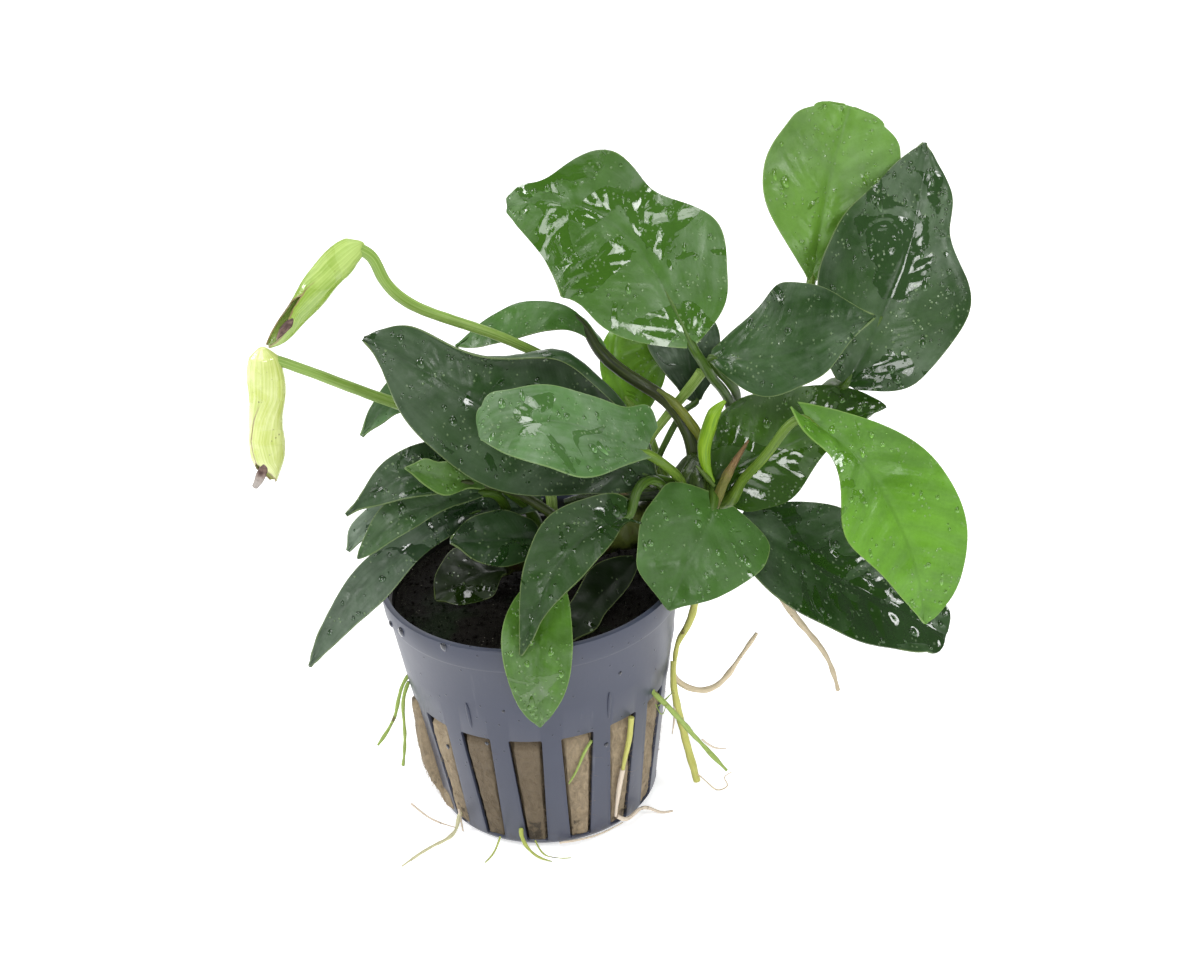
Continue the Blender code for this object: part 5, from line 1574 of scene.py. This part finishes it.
class ANUBIAS_OT_flowers(bpy.types.Operator):
    """Makes the two spent flowers, their stalks and the old cut stalk"""

    bl_idname = "anubias.flowers"
    bl_label = "Flowers"

    def execute(self, context):
        paint = stalk_paint("flower stalk", (0.17, 0.30, 0.035), (0.34, 0.48, 0.13), (0.11, 0.20, 0.02))
        for name, (path, radii) in FLOWER_STALKS.items():
            stalk = tube(name + "_stem", path, [1.12 * r for r in radii], 16, 0.5, 0.05, 8)
            coloured(stalk, paint)
            deliver(stalk, "stalk", name)
        brown = self.spike_paint()
        for name, spathe in SPATHES.items():
            sheath = self.rolled(name + "_spathe", spathe)
            coloured(sheath, self.spathe_paint(name, name == "flower_lower"))
            path, radii = WITHERED_SPIKES[name]
            spike = tube(name + "_spike", path, radii, 20, 0.15, 0.35, 3)
            coloured(spike, brown)
            deliver(join([sheath, spike], name + "_spathe"), "spathe", name)
        return {"FINISHED"}

    def rolled(self, name, spathe):
        """A leaf rolled once round its own axis, its outer margin over its inner one."""
        path = spathe["path"]
        length = sum(math.dist(a, b) for a, b in zip(path, path[1:]))
        s = np.linspace(0, 1, int(length / 0.25)) ** 1.15
        a = np.linspace(0, 1, 121)
        centres, tangents = spline(path, s)
        front = np.array(FRONT) / np.linalg.norm(FRONT)
        right = np.cross(front, tangents)
        right /= np.linalg.norm(right, axis=1)[:, None]
        ahead = np.cross(tangents, right)
        widths = [half_width(spathe[side], s)[:, None] for side in ("left", "right")]
        round_off = np.sqrt(np.clip(s / 0.07, 0.0, 1))[:, None]
        near = np.interp(s, PLACES, spathe["near"])[:, None]
        far = np.interp(s, PLACES, spathe["far"])[:, None]
        turns = np.radians(near + (far - near) * a[None, :])
        grow = 1.03 - 0.12 * a[None, :]
        ribs = 1 + 0.006 * np.cos(turns * 26)
        x = np.where(np.cos(turns) < 0, widths[0], widths[1]) * np.cos(turns) * grow * ribs
        y = (widths[0] + widths[1]) * 0.32 * np.sin(turns) * grow * ribs
        points = centres[:, None] + right[:, None] * (x * round_off)[:, :, None]
        points = points + ahead[:, None] * (y * round_off)[:, :, None]
        points += 0.2 * ahead[:, None] * rough_field(points, 5, 5)[:, :, None]
        made = sheet_of(name, points)
        carry(made, "run", np.repeat(s * length, len(a)))
        around = np.cumsum(np.linalg.norm(np.diff(points, axis=1, prepend=points[:, :1]), axis=2), axis=1)
        carry(made, "from_edge", np.minimum(around, around[:, -1:] - around))
        apply_modifier(made, "SOLIDIFY", thickness=0.25 * MM, offset=-1)
        smooth(made, 60)
        return made

    def spike_paint(self):
        """The spent spike: brown-purple, and whitish fuzz towards its end."""
        paint = Paint("withered spike")
        at = paint.place()
        lumps = paint.noise(700, 3, 0.6, at=at)
        color = paint.blend(paint.step(lumps, 0.35, 0.65), (0.06, 0.028, 0.022), (0.22, 0.14, 0.11))
        end = paint.step(paint.own("run") + lumps * 3, 6.5, 9)
        color = paint.blend(end * 0.7, color, (0.50, 0.46, 0.42))
        return paint.finish(color, 0.45 + lumps * 0.3, lumps * 0.25)

    def spathe_paint(self, name, pale):
        """Fine green ribs along it, a brown torn margin, and a brown end."""
        paint = Paint(name + " skin", IOR=1.45, Coat_Roughness=0.04)
        grain = paint.grain()
        ribs = paint.noise(1, 2, 0.6, at=paint.moved(grain, (70, 0.9, 1)))
        patch = paint.noise(150, 3, 0.6)
        low, high, end = (0.22, 0.36, 0.04), (0.44, 0.58, 0.16), 25
        if pale:
            low, high, end = (0.48, 0.57, 0.12), (0.78, 0.83, 0.40), 26
        tone = paint.step(ribs, 0.35, 0.65) * 0.45 + paint.step(patch, 0.35, 0.65) * 0.5
        color = paint.blend(tone, low, high)
        run = paint.own("run") + paint.noise(420, 3) * 3
        edge = paint.own("from_edge") + paint.noise(700, 3) * 0.4 - 0.2
        torn = paint.step(edge, 0.30, 0.14) * paint.step(run, 11, 14)
        brown = paint.blend(paint.noise(900, 3), (0.10, 0.05, 0.025), (0.42, 0.28, 0.15))
        color = paint.blend(torn * 0.8, color, brown)
        color = paint.blend(paint.step(run, end, end + 3) * 0.7, color, brown)
        specks = paint.step(paint.cells(800), 0.16, 0.08) * paint.step(paint.noise(260, 1), 0.56, 0.62)
        color = paint.blend(specks * 0.7, color, (0.10, 0.07, 0.03))
        wet = paint.step(paint.noise(130, 3, 0.5, 0.8), 0.47, 0.49)
        roughness = 0.36 + patch * 0.2 - wet * 0.26
        return paint.finish(color, roughness, ribs * 0.06 + paint.noise(500, 2) * 0.06, coat=wet * 0.9)


# The stretches of the roots that start at the rhizome, hidden by the leaves in front of them.
ROOT_SOURCES = {
    "root_hanging": ((36, 6, 54), (40, 5.6, 47), (43.6, 4.6, 39.5)),
    "root_right_upper": ((31.5, 4.5, 53.5), (32.5, 1.5, 50), (30.6, -1.8, 43.5)),
    "root_right_thick": ((24.7, -5.4, 29.2),),
    "root_right_long": ((24.7, -5, 28),),
    "root_right_green": ((20.2, -12.9, 28.2),),
    "root_left": ((-23.8, -4.2, 29.6),),
    "root_left_straight": ((-24, -4.8, 28.4),),
}


class ANUBIAS_OT_roots(bpy.types.Operator):
    """Makes the roots that come out of the pot and the rhizome"""

    bl_idname = "anubias.roots"
    bl_label = "Roots"

    def execute(self, context):
        paints = {
            "tan": root_paint("tan root", (0.50, 0.42, 0.26), (0.78, 0.66, 0.48)),
            "yellow": root_paint("yellow root", (0.42, 0.44, 0.08), (0.62, 0.60, 0.20)),
            "green": root_paint("green root", (0.20, 0.32, 0.05), (0.40, 0.50, 0.14)),
            "pale": root_paint("pale root", (0.60, 0.50, 0.38), (0.82, 0.72, 0.60)),
            "lime": root_paint("lime root", (0.28, 0.36, 0.04), (0.52, 0.56, 0.16)),
            "sap": root_paint("sap root", (0.46, 0.46, 0.24), (0.74, 0.70, 0.48)),
        }
        for seed, (name, (path, radii, tint)) in enumerate(ROOTS.items()):
            root = tube(name + "_skin", self.source(name, path), radii, 12, 0.4, 0.16, seed)
            coloured(root, paints[tint])
            deliver(root, "root", name)
        for tint, paint in paints.items():
            thin = []
            for seed, (path, radius, mine) in enumerate(FINE_ROOTS):
                if mine == tint:
                    thin.append(tube("thin", path, (radius, radius * 0.9, radius * 0.5), 8, 0.4, 0.05, seed))
            if thin:
                piece = join(thin, "fine_roots_" + tint)
                coloured(piece, paint)
                deliver(piece, "root")
        return {"FINISHED"}

    def source(self, name, path):
        """The path, begun where the root grows: at the rhizome, or inside the wool."""
        if name in ROOT_SOURCES:
            return ROOT_SOURCES[name] + path
        start = np.array(path[0], float)
        inward = np.array((start[0], start[1], 0)) / math.hypot(start[0], start[1])
        return (tuple(start - 3.2 * inward + (0, 0, 0.6)),) + path


# What the soft boxes light, in metres. Each box: name, place, side length in metres, and power in
# watts.
LAMP_AIM = (0.01, 0, 0.06)
STUDIO_LAMPS = (
    ("overhead", (0.05, 0.14, 0.86), 0.46, 3.0),
    ("above the viewer", (-0.12, -0.40, 0.72), 0.33, 2.0),
    ("window", (0.12, -0.84, 0.42), 0.26, 2.0),
    ("backdrop", (0.0, 0.85, 0.48), 0.9, 3.2),
    ("left", (-0.58, 0.02, 0.42), 0.2, 2.0),
    ("right", (0.56, -0.38, 0.56), 0.22, 2.0),
)

# The point that the camera looks at, in metres.
CAMERA_TARGET = (0.01366, 0, 0.0652)

class ANUBIAS_OT_stage(bpy.types.Operator):
    """Makes the floor, the lights and the camera"""

    bl_idname = "anubias.stage"
    bl_label = "Stage"

    def execute(self, context):
        stage = context.scene.anubias_stage
        deselect()
        bpy.ops.mesh.primitive_plane_add(size=8)
        floor = bpy.context.object
        floor.name = "floor"
        paint = Paint("pale floor", Roughness=0.9, Emission_Strength=stage.glow, Emission_Color=(1, 1, 1, 1))
        color = paint.blend(paint.noise(4, 2), stage.floor, [0.99 * c for c in stage.floor])
        coloured(floor, paint.finish(color))
        for lamp in STUDIO_LAMPS:
            self.add_light(*lamp)
        world = bpy.data.worlds.new("studio")
        world.use_nodes = True
        sky = world.node_tree.nodes["Background"]
        sky.inputs["Color"].default_value = (1, 1, 1, 1)
        sky.inputs["Strength"].default_value = stage.sky
        context.scene.world = world
        context.scene.view_settings.view_transform = "Standard"
        self.add_camera(context, stage)
        return {"FINISHED"}

    def add_light(self, name, place, size, power):
        bpy.ops.object.light_add(type="AREA", location=place)
        lamp = bpy.context.object
        lamp.name = name
        lamp.data.size = size
        lamp.data.energy = power
        lamp.rotation_euler = (Vector(LAMP_AIM) - Vector(place)).to_track_quat("-Z", "Y").to_euler()

    def add_camera(self, context, stage):
        ahead = Vector((0, math.cos(stage.elevation), -math.sin(stage.elevation)))
        right = Vector((1, 0, 0))
        up = right.cross(ahead)
        turn_right = right * math.cos(stage.roll) + up * math.sin(stage.roll)
        turn_up = -right * math.sin(stage.roll) + up * math.cos(stage.roll)
        place = Vector(CAMERA_TARGET) - ahead * stage.distance
        bpy.ops.object.camera_add()
        camera = bpy.context.object
        camera.data.lens = stage.lens
        camera.data.sensor_width = 36
        camera.data.clip_start = 0.01
        axes = Matrix((turn_right, turn_up, -ahead)).transposed().to_4x4()
        camera.matrix_world = Matrix.Translation(place) @ axes
        context.scene.camera = camera


STEPS = (ANUBIAS_OT_stage, ANUBIAS_OT_net_pot, ANUBIAS_OT_filling, ANUBIAS_OT_rhizome, ANUBIAS_OT_leaves,
         ANUBIAS_OT_young_growth, ANUBIAS_OT_flowers, ANUBIAS_OT_roots, ANUBIAS_OT_drops)
SETTINGS = {"anubias_pot": NetPotSettings, "anubias_filling": FillingSettings,
            "anubias_foliage": FoliageSettings, "anubias_stage": StageSettings}


class ANUBIAS_PT_panel(bpy.types.Panel):
    """Lists the plant's settings and the steps that make it"""

    bl_idname = "ANUBIAS_PT_panel"
    bl_label = "Potted Anubias"
    bl_space_type = "VIEW_3D"
    bl_region_type = "UI"
    bl_category = "Anubias"

    def draw(self, context):
        for key, group in SETTINGS.items():
            box = self.layout.box()
            box.label(text=group.__doc__.rstrip("."))
            for field in group.__annotations__:
                box.prop(getattr(context.scene, key), field)
        for step in STEPS:
            self.layout.operator(step.bl_idname)


def register():
    for key, group in SETTINGS.items():
        bpy.utils.register_class(group)
        setattr(bpy.types.Scene, key, bpy.props.PointerProperty(type=group))
    for step in STEPS:
        bpy.utils.register_class(step)
    bpy.utils.register_class(ANUBIAS_PT_panel)


def unregister():
    bpy.utils.unregister_class(ANUBIAS_PT_panel)
    for step in reversed(STEPS):
        bpy.utils.unregister_class(step)
    for key, group in SETTINGS.items():
        delattr(bpy.types.Scene, key)
        bpy.utils.unregister_class(group)


def main():
    register()
    bpy.ops.anubias.stage()
    bpy.ops.anubias.net_pot()
    bpy.ops.anubias.filling()
    bpy.ops.anubias.rhizome()
    bpy.ops.anubias.leaves()
    bpy.ops.anubias.young_growth()
    bpy.ops.anubias.flowers()
    bpy.ops.anubias.roots()
    bpy.ops.anubias.drops()


if __name__ == "__main__":
    main()
